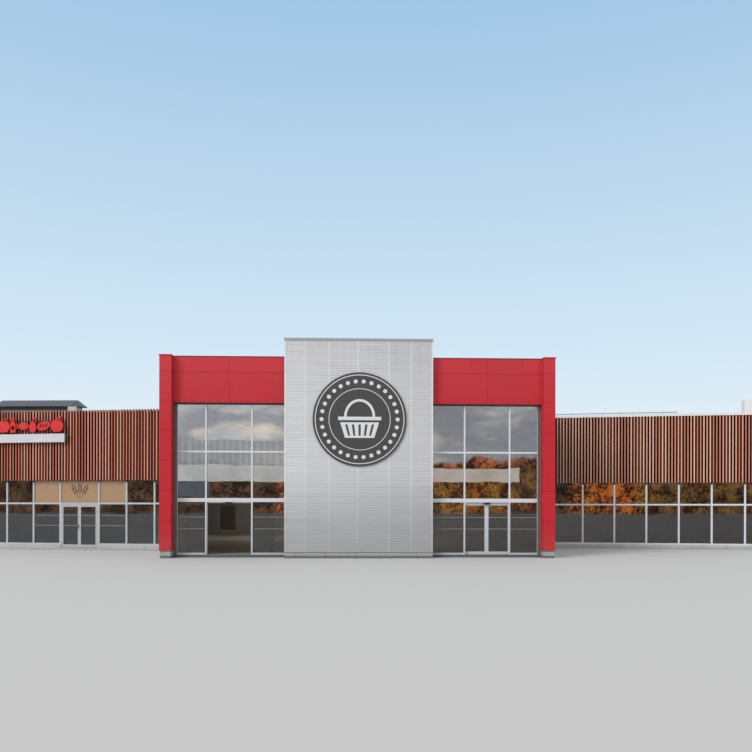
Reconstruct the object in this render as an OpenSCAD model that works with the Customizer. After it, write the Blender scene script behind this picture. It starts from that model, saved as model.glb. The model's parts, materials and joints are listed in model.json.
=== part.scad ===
/* [Levels above the shop floor] */
// Height of the shop floor above the lowest ground
floor_z = 120; // [60:10:200]
// Height of the slat screens' lower edge
slat_bottom_h = 3340; // [3000:10:3800]
// Height of the slat screens' upper edge
slat_top_h = 6820; // [6500:10:7200]
// Height of the flat wing roofs
roof_h = 6200; // [5600:10:6300]
// Centre height of the wing windows' transom
transom_h = 2200; // [1900:10:2600]
// Top of the left wing's window sill rail
left_sill_h = 210; // [120:10:500]
// Top of the right wing's window sill rail
right_sill_h = 180; // [120:10:500]

/* [Plan] */
// Distance from the middle of the entrance to the left end wall's outer face
left_reach = 20300; // [19000:50:20400]
// Distance from the middle of the entrance to the right end wall's outer face
right_reach = 19600; // [18900:50:19700]
// Distance from the middle of the entrance back to the left wing's window line
left_line = 2980; // [2400:10:3600]
// Distance from the middle of the entrance back to the right wing's window line
right_line = 9570; // [8400:10:10400]
// Distance from the middle of the entrance back to the rear wall's outer face
hall_depth = 24000; // [18000:100:26000]
// Thickness of the walls
wall_t = 250; // [200:10:320]
// Thickness of the roof slabs
roof_t = 300; // [200:10:400]
// Height of one cladding panel on the end and rear walls
wall_panel_h = 1150; // [900:10:1400]

/* [Entrance block] */
// Angle between the entrance block and the wings
portal_turn = 11; // [8:0.5:14]
// Width of a red pillar
pillar_w = 500; // [400:10:650]
// Distance from a pillar's face back to the glass line
pillar_reach = 600; // [450:10:800]
// Distance from the red fascia's face back to the glass line
fascia_reach = 270; // [200:10:350]
// Height of the red fascias' lower edge above the floor
fascia_bottom_h = 6445; // [6000:5:6800]
// Height of the red fascias' upper edge above the floor
fascia_top_h = 8420; // [8000:5:8800]
// Height of the red cladding's lower edge on the pillars above the floor
pillar_foot_h = 200; // [100:1:300]
// Height of one red cladding sheet on the pillars
pillar_sheet_h = 1257; // [1000:1:1500]
// Thickness of the side walls of the entrance block
portal_wall_t = 200; // [150:10:260]

/* [Grey tower] */
// Width of the tower
tower_w = 6260; // [5600:10:6800]
// Height of the tower's walls above the floor
tower_top_h = 9040; // [8900:10:9500]
// Height of the coping on the tower
tower_coping_h = 110; // [40:5:160]
// Depth of the tower behind its face, above the roof
tower_depth = 2400; // [1400:50:3200]
// Thickness of the metal cladding on the tower's face
cladding_t = 40; // [30:1:60]
// Height of the cladding's lower edge above the floor
cladding_foot_h = 144; // [100:1:250]
// Spacing of the waves in the tower's sheet
wave_pitch = 76; // [60:1:120]
// Depth of the waves in the tower's sheet
wave_d = 11; // [8:1:26]
// Width of the strips over the sheet's upright joints
joint_strip_w = 45; // [30:1:80]
// Width of the trims at the tower's corners
corner_trim_w = 60; // [40:1:100]
// Height of the kerb at the tower's foot above the floor
kerb_h = 102; // [60:1:140]

/* [Entrance glazing] */
// Distance from the tower's side to the inner mullion's centre
inner_column_w = 1430; // [1200:10:1600]
// Distance between the mullions' centres on either side of a sliding door
door_column_w = 1950; // [1700:10:2050]
// Distance from the outer mullion's centre to the red pillar
outer_column_w = 1340; // [1250:10:1600]
// Width of a mullion
mullion_w = 60; // [50:5:110]
// Width of the jamb against a pillar
jamb_w = 130; // [90:5:160]
// Depth of the aluminium frames
frame_d = 120; // [100:5:160]
// Height of the rail over the doors, lower edge above the floor
header_bottom_h = 2250; // [2150:5:2400]
// Height of the rail over the doors itself
header_rail_h = 155; // [120:5:240]
// Centre height of the upper transom above the floor
upper_transom_h = 4390; // [3800:10:5000]
// Height of a transom rail
rail_h = 70; // [50:5:130]
// Height of the frame's head bar that shows under the fascia
head_bar_h = 35; // [20:5:80]
// Thickness of the glass units
glass_t = 24; // [16:1:32]
// Gap between a glass unit and the bars around it
glass_gap = 0.3; // [0.2:0.1:0.8]

/* [Sliding doors] */
// Thickness of a sliding leaf
leaf_t = 40; // [30:1:50]
// Width of a leaf's stiles
stile_w = 75; // [60:5:100]
// Height of a leaf's bottom rail
kick_rail_h = 110; // [80:5:160]
// Height of a leaf's top rail
head_rail_h = 70; // [50:5:90]
// How far a closed leaf reaches behind its mullion
leaf_lap = 60; // [40:5:90]
// Gap between two closed leaves
meeting_gap = 6; // [5:1:12]
// How far the edge of an open leaf still shows beside its mullion
open_leaf_show = 22; // [10:1:60]
// Gap in depth between the frame and a leaf
leaf_clear = 15; // [8:1:25]
// Height of the track box's lower edge above the floor
track_bottom_h = 2200; // [2060:5:2240]
// Depth of the track box
track_d = 90; // [80:5:140]
// Width of the slot that a leaf's hanger runs in
track_slot_w = 20; // [14:1:24]
// Play on each side of a hanger in the slot
hanger_play = 0.3; // [0.2:0.1:0.6]

/* [Wing windows] */
// Width of the wings' mullions
post_w = 80; // [60:5:150]
// Height of the wings' sill and head rails
sill_rail_h = 80; // [60:5:110]
// Height of the wings' transom rail
wing_rail_h = 75; // [50:5:100]
// Distance from the entrance block's side to the centre of the left wing's first mullion
left_filler_w = 180; // [120:5:300]
// Spacing of the left wing's mullions
left_bay = 1470; // [1300:5:1600]
// Number of window bays between the entrance block and the hinged doors
bays_before_door = 3; // [2:1:4]
// Width of the bay with the hinged doors
door_bay = 2080; // [1900:5:2200]
// Distance from the entrance block's side to the centre of the right wing's first mullion
right_filler_w = 475; // [200:5:700]
// Spacing of the right wing's mullions
right_bay = 1623; // [1400:1:1800]
// Smallest distance from the last mullion to an end wall
end_bay_min = 600; // [400:10:800]
// How far the plinth stands proud of the frames
plinth_proud = 50; // [20:5:90]
// Width of a window in the end and rear walls
side_window_w = 1420; // [1000:10:1800]
// Spacing of the windows in the end and rear walls
side_window_pitch = 3200; // [2600:10:4200]

/* [Hinged doors] */
// Width of the door frame's jambs and head
door_jamb_w = 45; // [40:5:80]
// Thickness of a hinged leaf
hinged_leaf_t = 50; // [40:1:60]
// Width of a hinged leaf's stiles
hinged_stile_w = 75; // [60:5:120]
// Height of a hinged leaf's bottom rail
hinged_kick_h = 130; // [90:5:180]
// Gap around a hinged leaf
hinged_gap = 6; // [5:1:10]
// Radius of a hinge knuckle
knuckle_r = 10; // [8:1:14]
// Length of the middle knuckle, on the leaf
knuckle_len = 70; // [50:5:100]

/* [Slat screens] */
// Spacing of the timber slats
slat_pitch = 157; // [140:1:200]
// Width of a slat
slat_w = 82; // [60:1:110]
// Depth of a slat
slat_d = 100; // [60:5:140]
// Depth of the rails that carry the slats
slat_rail_d = 80; // [60:5:120]
// Height of the rails that carry the slats
slat_rail_h = 60; // [40:5:90]
// Number of rails behind each screen
slat_rails = 4; // [3:1:6]

/* [Roof edge] */
// Height of the white coping over the right wing
coping_h = 130; // [80:5:180]
// How far a coping stands out past its wall
coping_lip = 10; // [5:1:40]
// Joint between two lengths of coping
coping_joint = 5; // [3:1:10]

/* [Raised roof on the left] */
// Angle between the raised roof's front and the wings
raised_turn = 7; // [0:0.5:10]
// Distance from the left window line back to the right corner of the raised roof's front wall
raised_back = 1500; // [1400:50:2400]
// Depth of the raised roof's walls
raised_d = 450; // [400:50:1200]
// Distance from the building's left end to the right corner of the raised roof's front wall
raised_w = 4600; // [4000:50:5200]
// Height of the metal eave's lower edge above the floor
eave_bottom_h = 7235; // [7050:5:7400]
// Height of the metal eave
eave_h = 380; // [250:5:420]
// How far the eave's slope runs back over its height
eave_run = 480; // [300:10:480]
// How far the eave hangs out past the wall
eave_out = 290; // [200:10:290]
// Width of the pale corner pier under the eave
pier_w = 450; // [300:10:900]

/* [Roof fittings] */
// Height of the guard rail's top above the roof
guard_h = 915; // [800:5:1100]
// Spacing of the guard rail's posts
guard_pitch = 1545; // [1200:5:1800]
// Radius of the guard rail's tubes
guard_r = 22; // [16:1:30]
// Height of the white box on the right wing's roof
roof_box_h = 1480; // [1000:10:1700]
// Width of the white box on the right wing's roof
roof_box_w = 755; // [400:5:800]
// Depth of the white box on the right wing's roof
roof_box_d = 500; // [300:10:1200]

/* [Hidden] */

// Levels above the ground
slat_bottom = floor_z + slat_bottom_h;
slat_top = floor_z + slat_top_h;
roof_top = floor_z + roof_h;
roof_bottom = roof_top - roof_t;
fascia_bottom = floor_z + fascia_bottom_h;
fascia_top = floor_z + fascia_top_h;
tower_top = floor_z + tower_top_h;
header_bottom = floor_z + header_bottom_h;
header_top = header_bottom + header_rail_h;
upper_transom = floor_z + upper_transom_h;
track_bottom = floor_z + track_bottom_h;
window_head = slat_bottom + sill_rail_h;
transom_low = floor_z + transom_h - wing_rail_h / 2;
transom_high = transom_low + wing_rail_h;
portal_roof_drop = 290;
portal_roof_t = 250;
portal_roof_top = fascia_top - portal_roof_drop;
portal_roof_bottom = portal_roof_top - portal_roof_t;

// Plan of the entrance block, in its own turned frame with the glass line at zero
half_tower = tower_w / 2;
inner_post = half_tower + inner_column_w;
outer_post = inner_post + door_column_w;
pillar_inner = outer_post + outer_column_w;
half_portal = pillar_inner + pillar_w;
door_middle = (inner_post + outer_post) / 2;
frame_front = -frame_d / 2;
frame_back = frame_d / 2;
tower_wall_t = 210;
tower_inner_y = cladding_t + tower_wall_t - pillar_reach;
tower_back_y = tower_depth - pillar_reach;
slab_lip = 100;
far = 60000;

// Where the entrance block's side meets a line across the building: side is 1 for right and -1 for left
function portal_side_x(side, y) =
    (side * half_portal - y * sin(portal_turn)) / cos(portal_turn);

// Plan of the wings
left_x = -left_reach;
right_x = right_reach;
left_wall_y = left_line + frame_front;
right_wall_y = right_line + frame_front;
hall_front = right_wall_y + wall_t;

left_end_inner = left_x + wall_t;
right_end_inner = right_x - wall_t;

// Centres of the wings' mullions, from the entrance block outwards, in whole millimetres
left_first_post = round(portal_side_x(-1, left_line)) - left_filler_w;
near_door_post = left_first_post - bays_before_door * left_bay;
far_door_post = near_door_post - door_bay;
bays_past_door = floor((far_door_post - left_end_inner - end_bay_min) / left_bay);
left_posts = concat(
    [for (i = [0:bays_before_door]) left_first_post - i * left_bay],
    [for (i = [0:bays_past_door]) far_door_post - i * left_bay]
);
right_first_post = round(portal_side_x(1, right_line)) + right_filler_w;
right_whole_bays = floor((right_end_inner - right_first_post - end_bay_min) / right_bay);
right_posts = [for (i = [0:right_whole_bays]) right_first_post + i * right_bay];
shop_left = far_door_post + post_w / 2;
shop_right = near_door_post - post_w / 2;

red = [0.74, 0.13, 0.18];
light_grey = [0.78, 0.79, 0.8];
white_metal = [0.86, 0.88, 0.9];
pale_concrete = [0.8, 0.79, 0.76];
dark_wall = [0.09, 0.08, 0.08];
roof_grey = [0.52, 0.53, 0.54];
timber = [0.62, 0.4, 0.3];
glass_tint = [0.35, 0.42, 0.45, 0.5];

// A box given by its lowest and highest corners
module block(low, high) {
    translate(low) cube(high - low);
}

// Turns what is drawn in the entrance block's frame into the building's frame
module in_portal() {
    rotate([0, 0, portal_turn]) children();
}

// The space of the entrance block, to cut other walls where they meet it
module portal_space() {
    in_portal() block([-half_portal, -pillar_reach, -1000], [half_portal, far, 20000]);
}

// The half space in front of a line across the building
module before_line(y) {
    block([-far, -far, -1000], [far, y, 20000]);
}

// The half space behind a line across the building
module behind_line(y) {
    block([-far, y, -1000], [far, far, 20000]);
}

// The space between two levels
module between_levels(low, high) {
    block([-far, -far, low], [far, far, high]);
}

// Copies what is drawn for the right bay to the left bay
module both_bays() {
    children();
    mirror([1, 0, 0]) children();
}

module portal_floor() {
    side = half_portal - portal_wall_t;
    color(pale_concrete)
    difference() {
        intersection() {
            in_portal() block([-side, tower_inner_y, 0], [side, far, floor_z]);
            before_line(hall_front);
        }
        in_portal() both_bays() {
            block([half_tower - portal_wall_t, -far, -1], [half_tower, frame_back, floor_z + 1]);
            block([half_tower - 1, -far, -1], [half_portal, -slab_lip, floor_z + 1]);
            block([pillar_inner, -far, -1], [half_portal, 0, floor_z + 1]);
        }
    }
}

module left_wing_floor() {
    color(pale_concrete)
    difference() {
        union() {
            block([left_x + wall_t, left_wall_y + wall_t, 0], [0, hall_front, floor_z]);
            block([shop_left, left_wall_y - plinth_proud, 0],
                  [shop_right, left_wall_y + wall_t + 1, floor_z]);
        }
        in_portal() block([-half_portal + portal_wall_t, -far, -1000], [half_portal, far, 20000]);
    }
}

module hall_floor() {
    color(pale_concrete)
    block([left_x + wall_t, hall_front, 0], [right_x - wall_t, hall_depth - wall_t, floor_z]);
}

module tower_front_wall() {
    color(light_grey) in_portal()
    block([-half_tower, cladding_t - pillar_reach, 0],
          [half_tower, cladding_t + tower_wall_t - pillar_reach, tower_top]);
}

cladding_low = floor_z + cladding_foot_h;
wave_steps = 8;
half_step = 180 / wave_steps;
wave_count = floor((tower_top - cladding_low) / wave_pitch);
wave_start = (cladding_low + tower_top - wave_count * wave_pitch) / 2;

// Depth of the waved sheet's face behind its crests, at an angle along the wave
function wave(angle) = wave_d * (cos(half_step) - cos(angle)) / (2 * cos(half_step));

// Waved sheet on the tower's face, drawn as its upright section and drawn out over the tower's width
module tower_cladding() {
    waves = [
        for (i = [0:wave_count - 1], k = [0:wave_steps - 1])
            [wave((2 * k + 1) * half_step), wave_start + (i + (k + 0.5) / wave_steps) * wave_pitch]
    ];
    section = concat([[cladding_t, cladding_low], [0, cladding_low]], waves,
                     [[0, tower_top], [cladding_t, tower_top]]);
    color(light_grey) in_portal()
    translate([-half_tower, -pillar_reach, 0]) rotate([90, 0, 90])
    linear_extrude(tower_w) polygon(section);
}

// Places of the strips over the sheet's joints, from the tower's middle
joint_places = [-2240, -1250, -30, 1280, 2210];
strip_t = 3;

// Flat strips over the sheet's joints and folded trims round the tower's corners
module tower_trims() {
    front = -pillar_reach - strip_t;
    color(white_metal) in_portal() {
        for (middle = joint_places) {
            block([middle - joint_strip_w / 2, front, cladding_low],
                  [middle + joint_strip_w / 2, -pillar_reach, tower_top]);
        }
        both_bays() {
            block([half_tower - corner_trim_w, front, cladding_low],
                  [half_tower + strip_t, -pillar_reach, tower_top]);
            block([half_tower, -pillar_reach, cladding_low],
                  [half_tower + strip_t, corner_trim_w - pillar_reach, tower_top]);
        }
    }
}

// The tower's side walls below the roof, in front of the glass line
module tower_side_walls() {
    color(light_grey) in_portal() both_bays()
    block([half_tower - portal_wall_t, tower_inner_y, 0], [half_tower, frame_back, portal_roof_top]);
}

// The tower's side walls above the roof, as deep as the tower
module tower_upper_walls() {
    color(light_grey) in_portal() both_bays()
    block([half_tower - portal_wall_t, tower_inner_y, portal_roof_top],
          [half_tower, tower_back_y, tower_top]);
}

module tower_rear_wall() {
    color(light_grey) in_portal()
    block([portal_wall_t - half_tower, tower_back_y - portal_wall_t, portal_roof_top],
          [half_tower - portal_wall_t, tower_back_y, tower_top]);
}

tower_roof_drop = 160;
tower_roof_t = 120;

module tower_roof() {
    in_portal()
    block([portal_wall_t - half_tower, tower_inner_y, tower_top - tower_roof_drop - tower_roof_t],
          [half_tower - portal_wall_t, tower_back_y - portal_wall_t, tower_top - tower_roof_drop]);
}

tower_coping_lip = 15;

// Four lengths of coping with open joints at the corners
module tower_coping() {
    side = half_tower + tower_coping_lip;
    front = -pillar_reach - tower_coping_lip;
    back = tower_back_y + tower_coping_lip;
    inner_back = tower_back_y - portal_wall_t;
    top = tower_top + tower_coping_h;
    in_portal() {
        block([-side, front, tower_top], [side, tower_inner_y, top]);
        block([-side, inner_back, tower_top], [side, back, top]);
        both_bays()
        block([half_tower - portal_wall_t, tower_inner_y + coping_joint, tower_top],
              [side, inner_back - coping_joint, top]);
    }
}

kerb_proud = 10;

module tower_kerb() {
    in_portal()
    block([-half_tower, -pillar_reach - kerb_proud, 0],
          [half_tower, cladding_t - pillar_reach, floor_z + kerb_h]);
}

groove_w = 14;
groove_d = 10;
cap_h = 40;
cap_lip = 25;
pillar_foot = floor_z + pillar_foot_h;
pillar_body_top = fascia_top - cap_h;
pillar_joints = floor((pillar_body_top - pillar_foot) / pillar_sheet_h);

// One red pillar: a clad box with sheet joints and a small cap
module red_pillar() {
    difference() {
        block([pillar_inner, -pillar_reach, pillar_foot], [half_portal, 0, pillar_body_top]);
        for (i = [1:pillar_joints]) {
            z = pillar_foot + i * pillar_sheet_h;
            difference() {
                block([pillar_inner - 1, -pillar_reach - 1, z], [half_portal + 1, 1, z + groove_w]);
                block([pillar_inner + groove_d, groove_d - pillar_reach, z - 1],
                      [half_portal - groove_d, 2, z + groove_w + 1]);
            }
        }
    }
    block([pillar_inner - cap_lip, -pillar_reach - cap_lip, pillar_body_top],
          [half_portal + cap_lip, 0, fascia_top]);
}

module red_pillars() {
    color(red) in_portal() both_bays() red_pillar();
}

base_inset = 30;

module pillar_bases() {
    in_portal() both_bays()
    block([pillar_inner + base_inset, base_inset - pillar_reach, 0],
          [half_portal - base_inset, 0, pillar_foot]);
}

module entrance_footings() {
    color(pale_concrete) {
        tower_kerb();
        pillar_bases();
    }
}

// The fascias' level joint runs on from the pillars' top joint, and their upright joint is in the middle
module red_fascias() {
    level = pillar_foot + pillar_joints * pillar_sheet_h;
    middle = (half_tower + pillar_inner) / 2;
    groove_back = groove_d - fascia_reach;
    color(red) in_portal() both_bays()
    difference() {
        block([half_tower, -fascia_reach, fascia_bottom], [pillar_inner, frame_back, fascia_top]);
        block([pillar_inner - cap_lip, -pillar_reach, pillar_body_top], [half_portal, 0, fascia_top + 1]);
        block([half_tower - 1, -fascia_reach - 1, level],
              [pillar_inner + 1, groove_back, level + groove_w]);
        block([middle - groove_w / 2, -fascia_reach - 1, fascia_bottom - 1],
              [middle + groove_w / 2, groove_back, fascia_top + 1]);
    }
}

// The side walls of the entrance block, each as far back as the wing that it meets
module portal_side_walls() {
    color(light_grey) {
        intersection() {
            in_portal() block([-half_portal, 0, 0], [portal_wall_t - half_portal, far, fascia_top]);
            before_line(left_wall_y + wall_t);
        }
        intersection() {
            in_portal() block([half_portal - portal_wall_t, 0, 0], [half_portal, far, fascia_top]);
            before_line(hall_front);
        }
    }
}

// The left side wall above the left wing's ceiling
module portal_upper_wall() {
    color(light_grey)
    intersection() {
        in_portal() block([-half_portal, 0, roof_bottom], [portal_wall_t - half_portal, far, fascia_top]);
        behind_line(left_wall_y + wall_t);
        before_line(hall_front);
    }
}

module portal_rear_wall() {
    color(light_grey)
    intersection() {
        in_portal() block([portal_wall_t - half_portal, 0, roof_bottom],
                          [half_portal - portal_wall_t, far, fascia_top]);
        block([-far, right_wall_y, 0], [far, hall_front, fascia_top]);
    }
}

module portal_roof() {
    side = half_portal - portal_wall_t;
    intersection() {
        in_portal() difference() {
            block([-side, 0, portal_roof_bottom], [side, far, portal_roof_top]);
            block([-pillar_inner, -1, 0], [pillar_inner, frame_back, fascia_top]);
        }
        before_line(right_wall_y);
    }
}

module entrance_roofs() {
    color(roof_grey) {
        portal_roof();
        tower_roof();
    }
}

module entrance_mullions() {
    color(white_metal) in_portal() both_bays() {
        for (x = [inner_post, outer_post]) {
            block([x - mullion_w / 2, frame_front, floor_z],
                  [x + mullion_w / 2, frame_back, fascia_bottom]);
        }
        block([pillar_inner - jamb_w, frame_front, floor_z], [pillar_inner, frame_back, fascia_bottom]);
    }
}

// The three columns of a bay: left edge and right edge of the clear opening
columns = [
    [half_tower, inner_post - mullion_w / 2],
    [inner_post + mullion_w / 2, outer_post - mullion_w / 2],
    [outer_post + mullion_w / 2, pillar_inner - jamb_w]
];

module rail_in(column, low, high) {
    block([column[0], frame_front, low], [column[1], frame_back, high]);
}

module pane_in(column, low, high) {
    block([column[0] + glass_gap, -glass_t / 2, low + glass_gap],
          [column[1] - glass_gap, glass_t / 2, high - glass_gap]);
}

module entrance_rails() {
    color(white_metal) in_portal() both_bays() {
        for (i = [0:2]) {
            rail_in(columns[i], header_bottom, header_top);
            rail_in(columns[i], upper_transom - rail_h / 2, upper_transom + rail_h / 2);
            rail_in(columns[i], fascia_bottom - head_bar_h, fascia_bottom);
        }
        for (i = [0, 2]) {
            rail_in(columns[i], floor_z, floor_z + rail_h);
        }
    }
}

module entrance_glass() {
    color(glass_tint) in_portal() both_bays() {
        for (i = [0:2]) {
            pane_in(columns[i], header_top, upper_transom - rail_h / 2);
            pane_in(columns[i], upper_transom + rail_h / 2, fascia_bottom - head_bar_h);
        }
        for (i = [0, 2]) {
            pane_in(columns[i], floor_z + rail_h, header_bottom);
        }
    }
}

// Sliding leaves, drawn closed in the right bay
leaf_front = frame_back + leaf_clear;
leaf_middle = leaf_front + leaf_t / 2;
half_clear = (door_column_w - mullion_w) / 2;
leaf_w = half_clear - meeting_gap / 2 + leaf_lap;
slide_travel = half_clear - meeting_gap / 2 - open_leaf_show;
leaf_floor_gap = 8;
leaf_track_gap = 6;
leaf_low = floor_z + leaf_floor_gap;
leaf_high = track_bottom - leaf_track_gap;
slot_h = 70;
hanger_h = 50;
hanger_w = 120;
hanger_inset = 60;

module door_track() {
    difference() {
        block([half_tower, frame_back, track_bottom],
              [pillar_inner - jamb_w, frame_back + track_d, header_top]);
        block([half_tower - 1, leaf_middle - track_slot_w / 2, track_bottom - 1],
              [pillar_inner, leaf_middle + track_slot_w / 2, track_bottom + slot_h]);
    }
}

module door_tracks() {
    color(white_metal) in_portal() both_bays() door_track();
}

sensor_w = 280;
sensor_d = 50;
sensor_h = 95;
sensor_inset = 2;

// A box under the rail over each sliding door
module door_sensors() {
    front = frame_front + sensor_inset;
    color([0.12, 0.12, 0.13]) in_portal() both_bays()
    block([door_middle - sensor_w / 2, front, header_bottom - sensor_h],
          [door_middle + sensor_w / 2, front + sensor_d, header_bottom]);
}

// A leaf's frame with its two hangers; inner edge at zero, reaching along +x
module sliding_leaf() {
    difference() {
        block([0, leaf_front, leaf_low], [leaf_w, leaf_front + leaf_t, leaf_high]);
        block([stile_w, leaf_front - 1, leaf_low + kick_rail_h],
              [leaf_w - stile_w, leaf_front + leaf_t + 1, leaf_high - head_rail_h]);
    }
    for (x = [hanger_inset, leaf_w - hanger_inset - hanger_w]) {
        block([x, leaf_middle - track_slot_w / 2 + hanger_play, leaf_high - 1],
              [x + hanger_w, leaf_middle + track_slot_w / 2 - hanger_play, leaf_high + hanger_h]);
    }
}

module sliding_pane() {
    block([stile_w + glass_gap, leaf_middle - glass_t / 2, leaf_low + kick_rail_h + glass_gap],
          [leaf_w - stile_w - glass_gap, leaf_middle + glass_t / 2, leaf_high - head_rail_h - glass_gap]);
}

// Puts a leaf at the middle of a door: side is 1 for the right leaf and -1 for the left one
module at_door(middle, side, opened) {
    in_portal() translate([middle + side * (meeting_gap / 2 + opened), 0, 0])
    mirror([side < 0 ? 1 : 0, 0, 0]) children();
}

module left_entrance_left_leaf() {
    color(white_metal) at_door(-door_middle, -1, slide_travel) sliding_leaf();
}

module left_entrance_right_leaf() {
    color(white_metal) at_door(-door_middle, 1, slide_travel) sliding_leaf();
}

module right_entrance_left_leaf() {
    color(white_metal) at_door(door_middle, -1, 0) sliding_leaf();
}

module right_entrance_right_leaf() {
    color(white_metal) at_door(door_middle, 1, 0) sliding_leaf();
}

module left_entrance_left_pane() {
    color(glass_tint) at_door(-door_middle, -1, slide_travel) sliding_pane();
}

module left_entrance_right_pane() {
    color(glass_tint) at_door(-door_middle, 1, slide_travel) sliding_pane();
}

module right_entrance_left_pane() {
    color(glass_tint) at_door(door_middle, -1, 0) sliding_pane();
}

module right_entrance_right_pane() {
    color(glass_tint) at_door(door_middle, 1, 0) sliding_pane();
}

// Wing windows: each bay is given by the clear edges between two posts
left_last = len(left_posts) - 1;
right_last = len(right_posts) - 1;
left_bays = [
    for (i = [0:left_last - 1])
        if (i != bays_before_door) [left_posts[i + 1] + post_w / 2, left_posts[i] - post_w / 2],
    [left_end_inner, left_posts[left_last] - post_w / 2]
];
right_bays = [
    for (i = [0:right_last - 1]) [right_posts[i] + post_w / 2, right_posts[i + 1] - post_w / 2],
    [right_posts[right_last] + post_w / 2, right_end_inner]
];
left_sill_top = floor_z + left_sill_h;
left_plinth_top = left_sill_top - sill_rail_h;
right_sill_top = floor_z + right_sill_h;
right_plinth_top = right_sill_top - sill_rail_h;

module wing_plinths() {
    color(pale_concrete) difference() {
        union() {
            block([left_x, left_wall_y - plinth_proud, 0],
                  [shop_left, left_wall_y + wall_t, left_plinth_top]);
            block([shop_right, left_wall_y - plinth_proud, 0], [0, left_wall_y + wall_t, left_plinth_top]);
            block([0, right_wall_y - plinth_proud, 0], [right_x, right_wall_y + wall_t, right_plinth_top]);
        }
        portal_space();
        block([left_x - 1, left_wall_y, -1], [left_end_inner, far, 20000]);
        block([right_end_inner, right_wall_y, -1], [right_x + 1, far, 20000]);
    }
}

module wing_post(x, line, low) {
    block([x - post_w / 2, line + frame_front, low],
          [x + post_w / 2, line + frame_back, window_head - sill_rail_h]);
}

module window_mullions() {
    color(white_metal) {
        for (i = [1:left_last]) {
            wing_post(left_posts[i], left_line, left_plinth_top);
        }
        for (x = right_posts) {
            wing_post(x, right_line, right_plinth_top);
        }
        difference() {
            block([left_posts[0] - post_w / 2, left_line + frame_front, left_plinth_top],
                  [0, left_line + frame_back, slat_bottom]);
            portal_space();
        }
        difference() {
            block([0, right_line + frame_front, right_plinth_top],
                  [right_posts[0] - post_w / 2, right_line + frame_back, slat_bottom]);
            portal_space();
        }
    }
}

module wing_rail(bay, line, low, high) {
    block([bay[0], line + frame_front, low], [bay[1], line + frame_back, high]);
}

module wing_pane(bay, line, low, high) {
    block([bay[0] + glass_gap, line - glass_t / 2, low + glass_gap],
          [bay[1] - glass_gap, line + glass_t / 2, high - glass_gap]);
}

module window_rails() {
    color(white_metal) {
        for (bay = left_bays) {
            wing_rail(bay, left_line, left_plinth_top, left_sill_top);
            wing_rail(bay, left_line, transom_low, transom_high);
        }
        for (bay = right_bays) {
            wing_rail(bay, right_line, right_plinth_top, right_sill_top);
            wing_rail(bay, right_line, transom_low, transom_high);
        }
        difference() {
            union() {
                block([left_end_inner, left_wall_y, slat_bottom], [0, left_line + frame_back, window_head]);
                block([0, right_wall_y, slat_bottom],
                      [right_end_inner, right_line + frame_back, window_head]);
            }
            portal_space();
        }
    }
}

// Bays of the left wing whose upper lights are beige panels: on both sides of the hinged doors
panel_bays = [bays_before_door - 1, bays_before_door];

module window_glass() {
    color(glass_tint) {
        for (i = [0:len(left_bays) - 1]) {
            wing_pane(left_bays[i], left_line, left_sill_top, transom_low);
            if (i != panel_bays[0] && i != panel_bays[1]) {
                wing_pane(left_bays[i], left_line, transom_high, slat_bottom);
            }
        }
        for (bay = right_bays) {
            wing_pane(bay, right_line, right_sill_top, transom_low);
            wing_pane(bay, right_line, transom_high, slat_bottom);
        }
        all_side_windows() window_panes();
    }
}

module shop_panels() {
    color([0.84, 0.69, 0.5]) {
        for (i = panel_bays) {
            wing_pane(left_bays[i], left_line, transom_high, slat_bottom);
        }
        wing_pane([shop_left, shop_right], left_line, transom_high, slat_bottom);
    }
}

left_wall_drop = 60;

module wing_walls() {
    color(dark_wall) difference() {
        union() {
            block([left_end_inner, left_wall_y, window_head],
                  [0, left_wall_y + wall_t, slat_top - left_wall_drop]);
            block([0, right_wall_y, window_head], [right_end_inner, right_wall_y + wall_t, slat_top]);
        }
        portal_space();
    }
}

slat_notch = 10;
slat_rail_margin = 160;

// A screen from x0 to x1 whose rails stand against a wall at wall_y
module slat_screen(x0, x1, wall_y) {
    count = floor((x1 - x0 - slat_w) / slat_pitch) + 1;
    start = x1 - slat_w - (count - 1) * slat_pitch;
    rail_front = wall_y - slat_rail_d;
    for (i = [0:count - 1]) {
        x = start + i * slat_pitch;
        block([x, rail_front - slat_d + slat_notch, slat_bottom],
              [x + slat_w, rail_front + slat_notch, slat_top]);
    }
    rail_step = (slat_top - slat_bottom - 2 * slat_rail_margin) / (slat_rails - 1);
    for (i = [0:slat_rails - 1]) {
        z = slat_bottom + slat_rail_margin + i * rail_step - slat_rail_h / 2;
        block([start, rail_front, z], [x1, wall_y, z + slat_rail_h]);
    }
}

screen_clear = 20;

module left_slat_screen() {
    x1 = portal_side_x(-1, left_wall_y) - screen_clear;
    color(timber) slat_screen(left_x, x1, left_wall_y);
}

module right_slat_screen() {
    x0 = portal_side_x(1, right_wall_y - slat_rail_d - slat_d) + screen_clear;
    color(timber) slat_screen(x0, right_x, right_wall_y);
}

// Hinged shop doors in the left wing
leaf_face = left_wall_y;
door_left = shop_left + door_jamb_w;
door_right = shop_right - door_jamb_w;
door_head = transom_low - door_jamb_w;
hinged_w = (door_right - door_left - 3 * hinged_gap) / 2;
hinged_floor_gap = 10;
hinged_low = floor_z + hinged_floor_gap;
hinged_high = door_head - hinged_gap;
knuckle_gap = 0.3;
pin_y = leaf_face - knuckle_r - knuckle_gap;
plate_t = 5;
plate_w = 34;
low_hinge_h = 250;
top_hinge_drop = 320;
hinge_heights = [floor_z + low_hinge_h, (floor_z + door_head) / 2, door_head - top_hinge_drop];

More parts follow.
